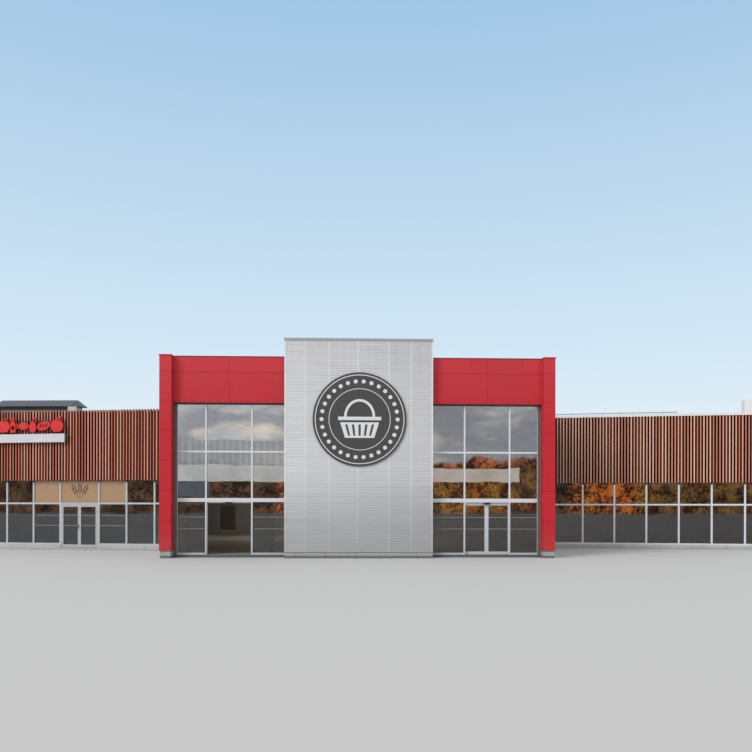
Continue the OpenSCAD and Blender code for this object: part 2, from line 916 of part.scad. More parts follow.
// A knuckle on its plate; side is 1 where the plate reaches along +x
module knuckle(x, side, low, high) {
    translate([x, pin_y, low]) cylinder(r = knuckle_r, h = high - low, $fn = 48);
    near = x + side * hinged_gap / 2;
    away = x + side * plate_w;
    block([min(near, away), leaf_face - plate_t, low], [max(near, away), leaf_face, high]);
    reach = x + side * (knuckle_r - 1);
    block([min(near, reach), pin_y, low], [max(near, reach), leaf_face, high]);
}

module shop_door_frame() {
    color(white_metal) {
        difference() {
            block([shop_left, leaf_face, floor_z], [shop_right, leaf_face + frame_d, transom_high]);
            block([door_left, leaf_face - 1, floor_z - 1],
                  [door_right, leaf_face + frame_d + 1, door_head]);
        }
        for (z = hinge_heights) {
            half = knuckle_len / 2;
            for (low = [z - half - knuckle_gap - half, z + half + knuckle_gap]) {
                knuckle(door_left + hinged_gap / 2, -1, low, low + half);
                knuckle(door_right - hinged_gap / 2, 1, low, low + half);
            }
        }
    }
}

// A hinged leaf with its knuckles; the hinge side is at x, reaching along side
module hinged_leaf(x, side) {
    away = x + side * hinged_w;
    inner = x + side * hinged_stile_w;
    outer = away - side * hinged_stile_w;
    difference() {
        block([min(x, away), leaf_face, hinged_low],
              [max(x, away), leaf_face + hinged_leaf_t, hinged_high]);
        block([min(inner, outer), leaf_face - 1, hinged_low + hinged_kick_h],
              [max(inner, outer), leaf_face + hinged_leaf_t + 1, hinged_high - hinged_stile_w]);
    }
    for (z = hinge_heights) {
        knuckle(x - side * hinged_gap / 2, side, z - knuckle_len / 2, z + knuckle_len / 2);
    }
}

module hinged_pane(x, side) {
    inner = x + side * hinged_stile_w;
    outer = x + side * (hinged_w - hinged_stile_w);
    middle = leaf_face + hinged_leaf_t / 2;
    block([min(inner, outer) + glass_gap, middle - glass_t / 2, hinged_low + hinged_kick_h + glass_gap],
          [max(inner, outer) - glass_gap, middle + glass_t / 2, hinged_high - hinged_stile_w - glass_gap]);
}

handle_h = 1050;
handle_plate = [36, 8, 240];
handle_r = 10;
handle_out = 55;
lever_len = 130;

// A lever handle on its plate, on the meeting stile; the hinge side is at x, reaching along side
module lever_handle(x, side) {
    middle = x + side * (hinged_w - hinged_stile_w / 2);
    z = floor_z + handle_h;
    block([middle - handle_plate[0] / 2, leaf_face - handle_plate[1], z - handle_plate[2] / 2],
          [middle + handle_plate[0] / 2, leaf_face, z + handle_plate[2] / 2]);
    translate([middle, leaf_face, z]) rotate([90, 0, 0]) cylinder(r = handle_r, h = handle_out, $fn = 32);
    translate([middle + side * handle_r, leaf_face - handle_out, z]) rotate([0, -side * 90, 0])
    cylinder(r = handle_r, h = lever_len, $fn = 32);
}

module shop_door_left_leaf() {
    color(white_metal) hinged_leaf(door_left + hinged_gap, 1);
}

module shop_door_right_leaf() {
    color(white_metal) hinged_leaf(door_right - hinged_gap, -1);
}

module shop_door_handle() {
    color([0.12, 0.12, 0.13]) lever_handle(door_left + hinged_gap, 1);
}

module shop_door_left_pane() {
    color(glass_tint) hinged_pane(door_left + hinged_gap, 1);
}

module shop_door_right_pane() {
    color(glass_tint) hinged_pane(door_right - hinged_gap, -1);
}

// Windows in the end and rear walls: drawn along +x on a wall line, repeated at the pitch
side_sill = left_sill_top;
side_head = slat_bottom;

function window_count(length) = floor((length - side_window_w) / side_window_pitch);
function window_start(length) =
    (length - (window_count(length) - 1) * side_window_pitch - side_window_w) / 2;

// Calls its children once for each window of a wall of this length
module each_window(length) {
    for (i = [0:window_count(length) - 1]) {
        translate([window_start(length) + i * side_window_pitch, 0, 0]) children();
    }
}

// Places drawings made along +x onto the left end, right end and rear walls
module on_left_end() {
    translate([left_x, hall_depth - wall_t, 0]) rotate([0, 0, -90]) children();
}

module on_right_end() {
    translate([right_x, hall_front, 0]) rotate([0, 0, 90]) children();
}

module on_rear() {
    translate([right_x, hall_depth, 0]) rotate([0, 0, 180]) children();
}

left_end_len = hall_depth - wall_t - left_wall_y;
right_end_len = hall_depth - wall_t - hall_front;
rear_len = right_x - left_x;

module window_hole() {
    block([0, -1, side_sill], [side_window_w, wall_t + 1, side_head]);
}

module window_frame() {
    y0 = (wall_t - frame_d) / 2;
    difference() {
        block([0, y0, side_sill], [side_window_w, y0 + frame_d, side_head]);
        block([sill_rail_h, y0 - 1, side_sill + sill_rail_h],
              [side_window_w - sill_rail_h, y0 + frame_d + 1, transom_low]);
        block([sill_rail_h, y0 - 1, transom_high],
              [side_window_w - sill_rail_h, y0 + frame_d + 1, side_head - sill_rail_h]);
    }
}

module window_panes() {
    y0 = (wall_t - glass_t) / 2;
    block([sill_rail_h + glass_gap, y0, side_sill + sill_rail_h + glass_gap],
          [side_window_w - sill_rail_h - glass_gap, y0 + glass_t, transom_low - glass_gap]);
    block([sill_rail_h + glass_gap, y0, transom_high + glass_gap],
          [side_window_w - sill_rail_h - glass_gap, y0 + glass_t, side_head - sill_rail_h - glass_gap]);
}

// Repeats its children at every window of the three walls
module all_side_windows() {
    on_left_end() each_window(left_end_len) children();
    on_right_end() each_window(right_end_len) children();
    on_rear() each_window(rear_len) children();
}

// Grooves between the wall panels, round the outside of the end and rear walls
module panel_joints() {
    for (i = [1:floor((slat_top - groove_w) / wall_panel_h)]) {
        z = i * wall_panel_h;
        difference() {
            block([left_x - 1, left_wall_y - 1, z], [right_x + 1, hall_depth + 1, z + groove_w]);
            block([left_x + groove_d, left_wall_y - 2, z - 1],
                  [right_x - groove_d, hall_depth - groove_d, z + groove_w + 1]);
        }
    }
}

module end_walls() {
    color(light_grey) difference() {
        union() {
            block([left_x, left_wall_y, 0], [left_end_inner, hall_depth - wall_t, slat_top]);
            block([right_end_inner, right_wall_y, 0], [right_x, hall_depth - wall_t, slat_top]);
        }
        on_left_end() each_window(left_end_len) window_hole();
        on_right_end() each_window(right_end_len) window_hole();
        panel_joints();
    }
}

module rear_wall() {
    color(light_grey) difference() {
        block([left_x, hall_depth - wall_t, 0], [right_x, hall_depth, slat_top]);
        on_rear() each_window(rear_len) window_hole();
        panel_joints();
    }
}

module side_window_frames() {
    color(white_metal) all_side_windows() window_frame();
}

module left_wing_roof() {
    color(roof_grey) difference() {
        block([left_end_inner, left_wall_y + wall_t, roof_bottom], [0, hall_front, roof_top]);
        portal_space();
    }
}

module hall_roof() {
    color(roof_grey)
    block([left_end_inner, hall_front, roof_bottom], [right_end_inner, hall_depth - wall_t, roof_top]);
}

module wall_copings() {
    top = slat_top + coping_h;
    front = right_wall_y - slat_rail_d - slat_d + slat_notch;
    color(white_metal) {
        tower_coping();
        difference() {
            block([0, front, slat_top], [right_x, right_wall_y + wall_t + coping_lip, top]);
            portal_space();
        }
        block([right_end_inner - coping_lip, right_wall_y + wall_t + coping_lip + coping_joint, slat_top],
              [right_x, hall_depth - wall_t - coping_lip - coping_joint, top]);
        block([left_x, hall_depth - wall_t - coping_lip, slat_top], [right_x, hall_depth, top]);
        block([left_x, left_wall_y, slat_top],
              [left_end_inner + coping_lip, hall_depth - wall_t - coping_lip - coping_joint, top]);
    }
}

// The raised roof behind the left screen, drawn from its front wall's right corner
raised_x = left_x + raised_w;
raised_y = left_line + raised_back;
raised_gap = 40;
raised_left = left_end_inner + raised_gap;
raised_wall_t = 130;
eave_low = floor_z + eave_bottom_h;
eave_top = eave_low + eave_h;
eave_roof_t = 80;
pier_proud = eave_out - 10;
eave_span = 20000;

module at_raised() {
    translate([raised_x, raised_y, 0]) rotate([0, 0, raised_turn]) children();
}

// The space inside the raised walls' outer faces, moved out by a distance; its left side is square
module raised_space(out, low, high) {
    intersection() {
        at_raised() block([-eave_span, -out, low], [out, raised_d + out, high]);
        block([raised_left - out, -far, low], [far, far, high]);
    }
}

// What lies between the front and rear walls
module between_raised_walls() {
    at_raised() block([-eave_span, raised_wall_t, 0], [eave_span, raised_d - raised_wall_t, eave_top]);
}

// The corner pier's whole block, down to the roof and back to the rear wall
module pier_space() {
    intersection() {
        at_raised() block([-pier_w, -pier_proud, 0], [0, raised_d - raised_wall_t, far]);
        between_levels(roof_top, eave_low);
    }
}

// The raised roof's front and rear walls
module raised_front_walls() {
    color(dark_wall) difference() {
        raised_space(0, roof_top, eave_low);
        between_raised_walls();
        pier_space();
    }
}

// The raised roof's left side wall
module raised_side_walls() {
    color(dark_wall) intersection() {
        block([raised_left, -far, roof_top], [raised_left + raised_wall_t, far, eave_low]);
        between_raised_walls();
    }
}

// The pier stands before the front wall and is the raised roof's right side
module raised_corner_pier() {
    color(pale_concrete) difference() {
        pier_space();
        raised_space(-raised_wall_t, roof_top - 1, eave_low + 1);
    }
}

// The eave's slope from its outer edge, for a side that faces along -x
module eave_slope() {
    polygon([[-eave_out, eave_low], [eave_span, eave_low],
             [eave_span, eave_top], [eave_run - eave_out, eave_top]]);
}

// A hipped eave: its three sloped sides meet in the corners, over a hollow between the walls
module metal_eave() {
    color([0.42, 0.43, 0.46]) difference() {
        intersection() {
            at_raised() translate([-eave_span, 0, 0]) rotate([90, 0, 90])
            linear_extrude(2 * eave_span) eave_slope();
            at_raised() block([-eave_span, -eave_span, 0], [eave_span, raised_d, far]);
            at_raised() translate([0, eave_span, 0]) mirror([1, 0, 0]) rotate([90, 0, 0])
            linear_extrude(2 * eave_span) eave_slope();
            translate([raised_left, eave_span, 0]) rotate([90, 0, 0])
            linear_extrude(2 * eave_span) eave_slope();
        }
        raised_space(-raised_wall_t, roof_top, eave_top - eave_roof_t);
    }
}

// The guard rail behind the right wing's coping
guard_back = 450;
guard_run = 8120;
guard_y = right_line + guard_back;
guard_x1 = right_first_post + guard_run;
guard_posts = 6;
guard_end = 690;
guard_first = guard_x1 - guard_end;
guard_mid = 0.5;

module guard_rail() {
    x0 = guard_first - (guard_posts - 1) * guard_pitch;
    color([0.7, 0.72, 0.75]) {
        for (i = [0:guard_posts - 1]) {
            translate([x0 + i * guard_pitch, guard_y, roof_top])
            cylinder(r = guard_r, h = guard_h - guard_r, $fn = 16);
        }
        for (z = [roof_top + guard_h - guard_r, roof_top + guard_h * guard_mid]) {
            translate([x0, guard_y, z]) rotate([0, 90, 0])
            cylinder(r = guard_r, h = guard_x1 - x0, $fn = 16);
        }
    }
}

roof_box_back = 350;
roof_box_off = 30;

module roof_box() {
    x1 = right_end_inner - roof_box_off;
    y0 = right_line + roof_box_back;
    color(white_metal) block([x1 - roof_box_w, y0, roof_top], [x1, y0 + roof_box_d, roof_top + roof_box_h]);
}

portal_floor();
left_wing_floor();
hall_floor();
tower_front_wall();
tower_cladding();
tower_trims();
tower_side_walls();
tower_upper_walls();
tower_rear_wall();
entrance_footings();
red_pillars();
red_fascias();
portal_side_walls();
portal_upper_wall();
portal_rear_wall();
entrance_roofs();
entrance_mullions();
entrance_rails();
entrance_glass();
door_tracks();
door_sensors();
left_entrance_left_leaf();
left_entrance_right_leaf();
right_entrance_left_leaf();
right_entrance_right_leaf();
left_entrance_left_pane();
left_entrance_right_pane();
right_entrance_left_pane();
right_entrance_right_pane();
wing_plinths();
window_mullions();
window_rails();
window_glass();
shop_panels();
wing_walls();
left_slat_screen();
right_slat_screen();
shop_door_frame();
shop_door_left_leaf();
shop_door_right_leaf();
shop_door_left_pane();
shop_door_right_pane();
shop_door_handle();
end_walls();
rear_wall();
side_window_frames();
left_wing_roof();
hall_roof();
wall_copings();
raised_front_walls();
raised_side_walls();
raised_corner_pier();
metal_eave();
guard_rail();
roof_box();
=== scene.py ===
"""Looks of a supermarket building: finishes, glazing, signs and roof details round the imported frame."""

import json
import logging
import math
import random
from collections.abc import Callable, Iterable, Mapping, Sequence
from dataclasses import dataclass
from enum import Enum
from typing import Any

import bmesh
import bpy
from mathutils import Matrix, Vector


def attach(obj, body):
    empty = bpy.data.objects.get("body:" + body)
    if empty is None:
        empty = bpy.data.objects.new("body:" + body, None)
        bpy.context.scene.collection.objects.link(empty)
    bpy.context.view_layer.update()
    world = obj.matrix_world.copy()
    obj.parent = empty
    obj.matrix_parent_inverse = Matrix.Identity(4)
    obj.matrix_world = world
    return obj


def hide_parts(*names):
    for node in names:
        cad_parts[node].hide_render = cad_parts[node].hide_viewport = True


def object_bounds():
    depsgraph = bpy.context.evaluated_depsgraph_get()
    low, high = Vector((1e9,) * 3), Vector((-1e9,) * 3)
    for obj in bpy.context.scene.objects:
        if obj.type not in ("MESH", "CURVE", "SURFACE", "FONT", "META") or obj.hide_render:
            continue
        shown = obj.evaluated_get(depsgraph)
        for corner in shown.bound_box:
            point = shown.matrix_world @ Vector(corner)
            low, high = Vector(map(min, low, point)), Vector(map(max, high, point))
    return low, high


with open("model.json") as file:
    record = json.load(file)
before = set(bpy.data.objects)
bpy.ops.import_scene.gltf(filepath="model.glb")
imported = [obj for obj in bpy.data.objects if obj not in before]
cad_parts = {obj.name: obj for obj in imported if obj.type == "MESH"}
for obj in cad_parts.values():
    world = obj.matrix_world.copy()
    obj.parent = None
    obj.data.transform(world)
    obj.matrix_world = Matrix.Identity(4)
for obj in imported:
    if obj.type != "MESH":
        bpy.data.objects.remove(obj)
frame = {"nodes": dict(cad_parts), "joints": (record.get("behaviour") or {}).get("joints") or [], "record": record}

Colour = tuple[float, float, float]
Triple = tuple[float, float, float]
Pair = tuple[float, float]
Box = tuple[Vector, Vector]
Loop = list[Pair]

log = logging.getLogger("supermarket")
CAD_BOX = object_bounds()
BUILDING = "building"
SAME_PLACE = 1e-5
SAME_LEVEL = 0.001


def placed(name: str, data: bpy.types.ID) -> bpy.types.Object:
    """A new object of this data, in the scene."""
    made = bpy.data.objects.new(name, data)
    bpy.context.scene.collection.objects.link(made)
    return made


def plain_mesh(name: str, holder: bpy.types.Object) -> bpy.types.Mesh:
    """The finished mesh of an object, which is removed with its modifiers."""
    depsgraph = bpy.context.evaluated_depsgraph_get()
    mesh = bpy.data.meshes.new_from_object(holder.evaluated_get(depsgraph), depsgraph=depsgraph)
    mesh.name = name
    holder.modifiers.clear()
    bpy.data.objects.remove(holder)
    return mesh


def corners(points: Sequence[Vector]) -> Box:
    """The lowest and the highest corner of some points."""
    return (Vector(map(min, zip(*points))), Vector(map(max, zip(*points))))


def box_of(node: str, to_own: Matrix | None = None) -> Box:
    """Corners of a CAD node in a frame of its own.

    Args:
        node: The CAD node's name.
        to_own: What turns the row's frame into the wanted one.

    Returns:
        The lowest and the highest corner.
    """
    return corners([to_own @ v.co if to_own else v.co for v in frame["nodes"][node].data.vertices])


def solids_of(node: str, to_own: Matrix | None = None) -> list[Box]:
    """Corners of each separate solid of a CAD node.

    Args:
        node: The CAD node's name.
        to_own: What turns the row's frame into the wanted one.

    Returns:
        A list of lowest and highest corners, from left to right.
    """
    merged = bmesh.new()
    merged.from_mesh(frame["nodes"][node].data)
    bmesh.ops.remove_doubles(merged, verts=merged.verts, dist=SAME_PLACE)
    if to_own:
        merged.transform(to_own)
    boxes, seen = [], set()
    for first in merged.verts:
        if first in seen:
            continue
        seen.add(first)
        group, waiting = [], [first]
        while waiting:
            vertex = waiting.pop()
            group.append(vertex.co.copy())
            for edge in vertex.link_edges:
                other = edge.other_vert(vertex)
                if other not in seen:
                    seen.add(other)
                    waiting.append(other)
        boxes.append(corners(group))
    merged.free()
    return sorted(boxes, key=lambda b: tuple(b[0]))


class Tree:
    """A node tree of any kind, filled by one method."""

    def __init__(self, tree: bpy.types.NodeTree) -> None:
        """Keeps the tree and empties it."""
        self.tree = tree
        tree.nodes.clear()

    def node(self, kind: str, settings: Mapping[str, Any] | None = None,
             sockets: Mapping[str | int, Any] | None = None) -> bpy.types.Node:
        """Adds a node.

        Args:
            kind: The node's type.
            settings: Its properties, set first; stops are a colour ramp's places and colours.
            sockets: Values or links of its sockets, by identifier, name or number.

        Returns:
            The new node.
        """
        made = self.tree.nodes.new(kind)
        for name, value in (settings or {}).items():
            if name == "stops":
                self._set_stops(made.color_ramp, value)
            else:
                setattr(made, name, value)
        for name, value in (sockets or {}).items():
            socket = self._find(made.inputs, name)
            if isinstance(value, Signal):
                self.tree.links.new(value.socket, socket)
            elif isinstance(value, bpy.types.NodeSocket):
                self.tree.links.new(value, socket)
            else:
                socket.default_value = value
        return made

    @staticmethod
    def _find(sockets: bpy.types.bpy_prop_collection, name: str | int) -> bpy.types.NodeSocket:
        """The socket with this number, identifier or name."""
        if isinstance(name, int):
            return sockets[name]
        return next((s for s in sockets if s.identifier == name), None) or sockets[name]

    @staticmethod
    def _set_stops(ramp: bpy.types.ColorRamp, stops: Sequence[tuple[float, Colour]]) -> None:
        """Fills a colour ramp with places and colours."""
        while len(ramp.elements) < len(stops):
            ramp.elements.new(1.0)
        for element, (position, colour) in zip(ramp.elements, stops):
            element.position = position
            element.color = (*colour, 1.0)


def operator(operation: str, flipped: bool = False) -> Callable[["Signal", Any], "Signal"]:
    """Makes one of a signal's operators.

    Args:
        operation: The Math node's operation.
        flipped: True for the reflected form, where the signal stands on the right.

    Returns:
        The method.
    """
    def method(self: "Signal", other: Any) -> "Signal":
        """The operation's result."""
        return self.with_node(operation, *((other, self) if flipped else (self, other)))

    return method


class Signal:
    """A socket's output that takes part in sums as a number does; a comparison gives one or zero."""

    def __init__(self, shader: "Shader", socket: bpy.types.NodeSocket) -> None:
        """Keeps the socket and the shader that it belongs to."""
        self.shader = shader
        self.socket = socket

    def with_node(self, operation: str, *values: Any) -> "Signal":
        """The result of a Math node on these values."""
        made = self.shader.node("ShaderNodeMath", {"operation": operation}, dict(enumerate(values)))
        return Signal(self.shader, made.outputs[0])

    __add__, __radd__ = operator("ADD"), operator("ADD", flipped=True)
    __sub__, __rsub__ = operator("SUBTRACT"), operator("SUBTRACT", flipped=True)
    __mul__, __rmul__ = operator("MULTIPLY"), operator("MULTIPLY", flipped=True)
    __truediv__ = operator("DIVIDE")
    __gt__, __lt__ = operator("GREATER_THAN"), operator("LESS_THAN")

    def whole(self) -> "Signal":
        """The whole number at or below this."""
        return self.with_node("FLOOR", self)

    def size(self) -> "Signal":
        """The number without its sign."""
        return self.with_node("ABSOLUTE", self)

    def fold(self, half: float) -> "Signal":
        """The distance to the nearest multiple of twice this half."""
        return self.with_node("PINGPONG", self, half)

    def swing(self, by: Any) -> "Signal":
        """How far this is over a half, times a number."""
        return (self - 0.5) * by

    def between(self, low: float, high: float) -> "Signal":
        """A ramp from zero at low to one at high, smooth at both ends.

        Args:
            low: Where the ramp is zero; it may be above high.
            high: Where the ramp is one.

        Returns:
            The ramp's value.
        """
        start, end, first, last = (low, high, 0.0, 1.0) if low < high else (high, low, 1.0, 0.0)
        made = self.shader.node("ShaderNodeMapRange", {"interpolation_type": "SMOOTHSTEP"},
                                {0: self, 1: start, 2: end, 3: first, 4: last})
        return Signal(self.shader, made.outputs[0])


class Shader(Tree):
    """A material's or the world's nodes, with the patterns that the finishes share."""

    def place(self, turn: float = 0.0) -> Signal:
        """The surface's own coordinates, turned back by an angle about the upright axis.

        Args:
            turn: The angle in radians of the frame that the pattern follows.

        Returns:
            The coordinates in metres.
        """
        own = self.node("ShaderNodeTexCoord").outputs["Object"]
        turned = self.node("ShaderNodeMapping", {}, {"Vector": own, "Rotation": (0.0, 0.0, -turn)})
        return Signal(self, turned.outputs[0])

    def parts(self, vector: Signal) -> tuple[Signal, Signal, Signal]:
        """The three numbers of a vector."""
        made = self.node("ShaderNodeSeparateXYZ", {}, {0: vector})
        return tuple(Signal(self, s) for s in made.outputs)

    def joined(self, x: Any, y: Any, z: Any) -> Signal:
        """A vector of three numbers."""
        return Signal(self, self.node("ShaderNodeCombineXYZ", {}, {0: x, 1: y, 2: z}).outputs[0])

    def stretched(self, vector: Signal, by: Triple) -> Signal:
        """A vector multiplied part by part."""
        made = self.node("ShaderNodeVectorMath", {"operation": "MULTIPLY"}, {0: vector, 1: by})
        return Signal(self, made.outputs[0])

    def noise(self, vector: Signal, scale: float, detail: float = 2.0, roughness: float = 0.5) -> Signal:
        """Soft noise.

        Args:
            vector: Where it is read.
            scale: How many lumps lie along a metre.
            detail: How many finer layers are added.
            roughness: How strong the finer layers are.

        Returns:
            Noise from zero to one, about a half.
        """
        made = self.node("ShaderNodeTexNoise", {}, {"Vector": vector, "Scale": scale, "Detail": detail,
                                                    "Roughness": roughness})
        return Signal(self, made.outputs[0])

    def streaks(self, vector: Signal, level: float, upright: float, detail: float,
                roughness: float = 0.5) -> Signal:
        """Noise that is drawn out upright or along the level.

        Args:
            vector: Where it is read.
            level: How many lumps lie along a level metre.
            upright: How many lie along an upright metre.
            detail: How many finer layers are added.
            roughness: How strong the finer layers are.

        Returns:
            Noise from zero to one, about a half.
        """
        return self.noise(self.stretched(vector, (level, level, upright)), 1.0, detail, roughness)

    def chance(self, vector: Signal) -> Signal:
        """A number from zero to one that is random for each whole vector."""
        made = self.node("ShaderNodeTexWhiteNoise", {"noise_dimensions": "3D"}, {"Vector": vector})
        return Signal(self, made.outputs["Value"])

    def ramp(self, value: Signal, stops: Sequence[tuple[float, Colour]], sharp: bool = False) -> Signal:
        """A colour from a ramp.

        Args:
            value: Where the ramp is read, from zero to one.
            stops: Its places and colours.
            sharp: True for steps in place of blends.

        Returns:
            The colour.
        """
        made = self.node("ShaderNodeValToRGB", {"stops": stops}, {0: value})
        if sharp:
            made.color_ramp.interpolation = "CONSTANT"
        return Signal(self, made.outputs[0])

    def mix(self, share: Any, first: Any, second: Any, way: str = "MIX") -> Signal:
        """A mix of two colours.

        Args:
            share: How much of the second colour is in it.
            first: A colour or a signal.
            second: A colour or a signal.
            way: The blend mode.

        Returns:
            The mixed colour.
        """
        full = [(*c, 1.0) if isinstance(c, tuple) else c for c in (first, second)]
        made = self.node("ShaderNodeMix", {"data_type": "RGBA", "blend_type": way},
                         {"Factor_Float": share, "A_Color": full[0], "B_Color": full[1]})
        return Signal(self, next(s for s in made.outputs if s.identifier == "Result_Color"))

    def toned(self, colour: Any, tone: Signal) -> Signal:
        """A colour made lighter or darker by a number about one."""
        return self.mix(1.0, colour, self.joined(tone, tone, tone), "MULTIPLY")

    def bump(self, height: Signal, depth: float, strength: float = 1.0) -> Signal:
        """A normal for a height.

        Args:
            height: The height, from zero to one.
            depth: What one stands for, in metres.
            strength: How much of it shows.

        Returns:
            The normal.
        """
        made = self.node("ShaderNodeBump", {}, {"Height": height, "Distance": depth, "Strength": strength})
        return Signal(self, made.outputs[0])

    def principled(self, **sockets: Any) -> bpy.types.Node:
        """A Principled shader; underscores in the names stand for spaces."""
        named = {name.replace("_", " "): value for name, value in sockets.items()}
        for name, value in named.items():
            if name.endswith("Color") and isinstance(value, tuple):
                named[name] = (*value, 1.0)
        return self.node("ShaderNodeBsdfPrincipled", {}, named)

    def out(self, shader: bpy.types.Node) -> None:
        """Sends a shader to the material's output."""
        self.node("ShaderNodeOutputMaterial", {}, {"Surface": shader.outputs[0]})

    def paint(self, **sockets: Any) -> None:
        """Ends the material with a Principled shader; see there for the names."""
        self.out(self.principled(**sockets))


@dataclass(frozen=True)
class Finish:
    """A surface finish; each kind of surface has a class of its own."""

    name: str

    def material(self) -> bpy.types.Material:
        """The finish's material, made at its first use."""
        found = bpy.data.materials.get(self.name)
        if found is None:
            found = bpy.data.materials.new(self.name)
            found.use_nodes = True
            self.dress(Shader(found.node_tree))
        return found

    def cover(self, mesh: bpy.types.Mesh) -> None:
        """Makes this finish the only one of a mesh."""
        mesh.materials.clear()
        mesh.materials.append(self.material())
        for face in mesh.polygons:
            face.material_index = 0

    def dress(self, shader: Shader) -> None:
        """Fills the material's nodes.

        Args:
            shader: The empty material.
        """
        raise NotImplementedError


@dataclass(frozen=True)
class Coated(Finish):
    """Powder coated metal: an even colour with faint cloudiness, orange peel and dust near the ground."""

    colour: Colour = (0.7, 0.72, 0.76)
    roughness: float = 0.36
    dust: float = 0.12
    dust_top: float = 0.9
    streaks: float = 0.04
    dust_colour: Colour = (0.32, 0.29, 0.25)

    def dress(self, shader: Shader) -> None:
        """Fills the nodes; see the base class."""
        place = shader.place()
        _, _, z = shader.parts(place)
        cloud = shader.noise(place, 1.3, 3.0)
        runs = shader.streaks(place, 9.0, 0.35, 3.0)
        foot = z.between(self.dust_top, 0.0) * shader.noise(place, 6.0, 4.0)
        tone = 1.0 + cloud.swing(0.05) + runs.swing(self.streaks)
        colour = shader.mix(foot * self.dust, shader.toned(self.colour, tone), self.dust_colour)
        peel = shader.noise(place, 260.0, 1.0)
        shader.paint(
            Base_Color=colour, Roughness=self.roughness + cloud.swing(0.12) + foot * 0.2,
            Normal=shader.bump(peel, 0.0004, 0.35))


@dataclass(frozen=True)
class Joinery(Finish):
    """Coated window frames: pale, with painted shade on the left wing, and dark with painted shade where they meet
    the walls and under their heads.
    """

    colour: Colour = (0.7, 0.72, 0.76)
    # colour of the painted shade at the outer jambs and under the heads
    dark: Colour = (0.13, 0.135, 0.14)
    turn: float = 0.0
    jamb: float = 100.0
    head: float = 100.0
    # frames left of this take painted shade, toned down by dull
    painted_shade_left_of: float = -100.0
    dull: float = 0.75
    foot: float = 0.8
    darkening: Pair = (3.4, 0.6)
    dirt: Colour = (0.3, 0.27, 0.23)

    def dress(self, shader: Shader) -> None:
        """Fills the nodes; see the base class."""
        place = shader.place(self.turn)
        x, _, z = shader.parts(place)
        cloud = shader.noise(place, 1.3, 3.0)
        runs = shader.streaks(place, 9.0, 0.35, 3.0)
        # painted shade: the left wing's frames are toned down
        tone = 1.0 + cloud.swing(0.05) + runs.swing(0.06) - (x < self.painted_shade_left_of) * (1.0 - self.dull)
        tone = tone * (1.0 - z.between(*self.darkening) * (1.0 - self.foot))
        colour = shader.toned(self.colour, tone)
        dirt = z.between(0.5, 0.1) * shader.noise(place, 9.0, 4.0)
        colour = shader.mix(dirt * 0.35, colour, self.dirt)
        # painted shade: the outer jambs and the frame over the head level take the dark colour
        colour = shader.mix((x.size() > self.jamb) + (z > self.head), colour, self.dark)
        peel = shader.noise(place, 260.0, 1.0)
        shader.paint(
            Base_Color=colour, Roughness=0.36 + cloud.swing(0.12) + dirt * 0.3,
            Normal=shader.bump(peel, 0.0004, 0.35))


@dataclass(frozen=True)
class Coping(Coated):
    """Folded metal copings: pale over the wings, grey on the tower, with rain marks."""

    grey_over: float = 9.1
    grey: Colour = (0.33, 0.35, 0.38)

    def dress(self, shader: Shader) -> None:
        """Fills the nodes; see the base class."""
        place = shader.place()
        _, _, z = shader.parts(place)
        cloud = shader.noise(place, 1.1, 3.0)
        runs = shader.streaks(place, 7.0, 0.5, 4.0)
        tone = 1.0 + cloud.swing(0.06) + runs.swing(self.streaks)
        colour = shader.toned(shader.mix(z > self.grey_over, self.colour, self.grey), tone)
        shader.paint(
            Base_Color=colour, Roughness=self.roughness + runs.swing(0.15),
            Normal=shader.bump(cloud, 0.002, 0.3))


@dataclass(frozen=True)
class RedSheet(Finish):
    """Red cassettes: each sheet a shade apart, with dark joints and faint rain marks."""

    turn: float = 0.0
    foot: float = 0.32
    sheet: float = 1.257
    joint: float = 0.014
    width: float = 2.36
    colour: Colour = (0.55, 0.017, 0.03)
    faded: Colour = (0.57, 0.034, 0.046)
    fading: Pair = (5.2, 8.2)
    dust_colour: Colour = (0.35, 0.24, 0.2)
    joint_colour: Colour = (0.1, 0.008, 0.012)

    def dress(self, shader: Shader) -> None:
        """Fills the nodes; see the base class."""
        place = shader.place(self.turn)
        x, _, z = shader.parts(place)
        base = shader.mix(z.between(*self.fading), self.colour, self.faded)
        level = (z - self.foot) / self.sheet
        sheet = shader.joined((x / self.width).whole(), 0.0, level.whole())
        tone = 1.0 + shader.chance(sheet).swing(0.09)
        cloud = shader.noise(place, 0.55, 3.0)
        runs = shader.streaks(place, 14.0, 0.5, 3.0)
        colour = shader.toned(base, tone + cloud.swing(0.1) + runs.swing(0.07))
        dust = z.between(1.4, 0.3) * shader.noise(place, 5.0, 4.0)
        colour = shader.mix(dust * 0.16, colour, self.dust_colour)
        in_joint = ((level - level.whole()) * self.sheet < self.joint) * (level > 0.5)
        colour = shader.mix(in_joint * 0.55, colour, self.joint_colour)
        shader.paint(
            Base_Color=colour, Roughness=0.42 + cloud.swing(0.16) + dust * 0.25, Specular_IOR_Level=0.3,
            Normal=shader.bump(shader.noise(place, 2.2, 2.0), 0.004, 0.5))


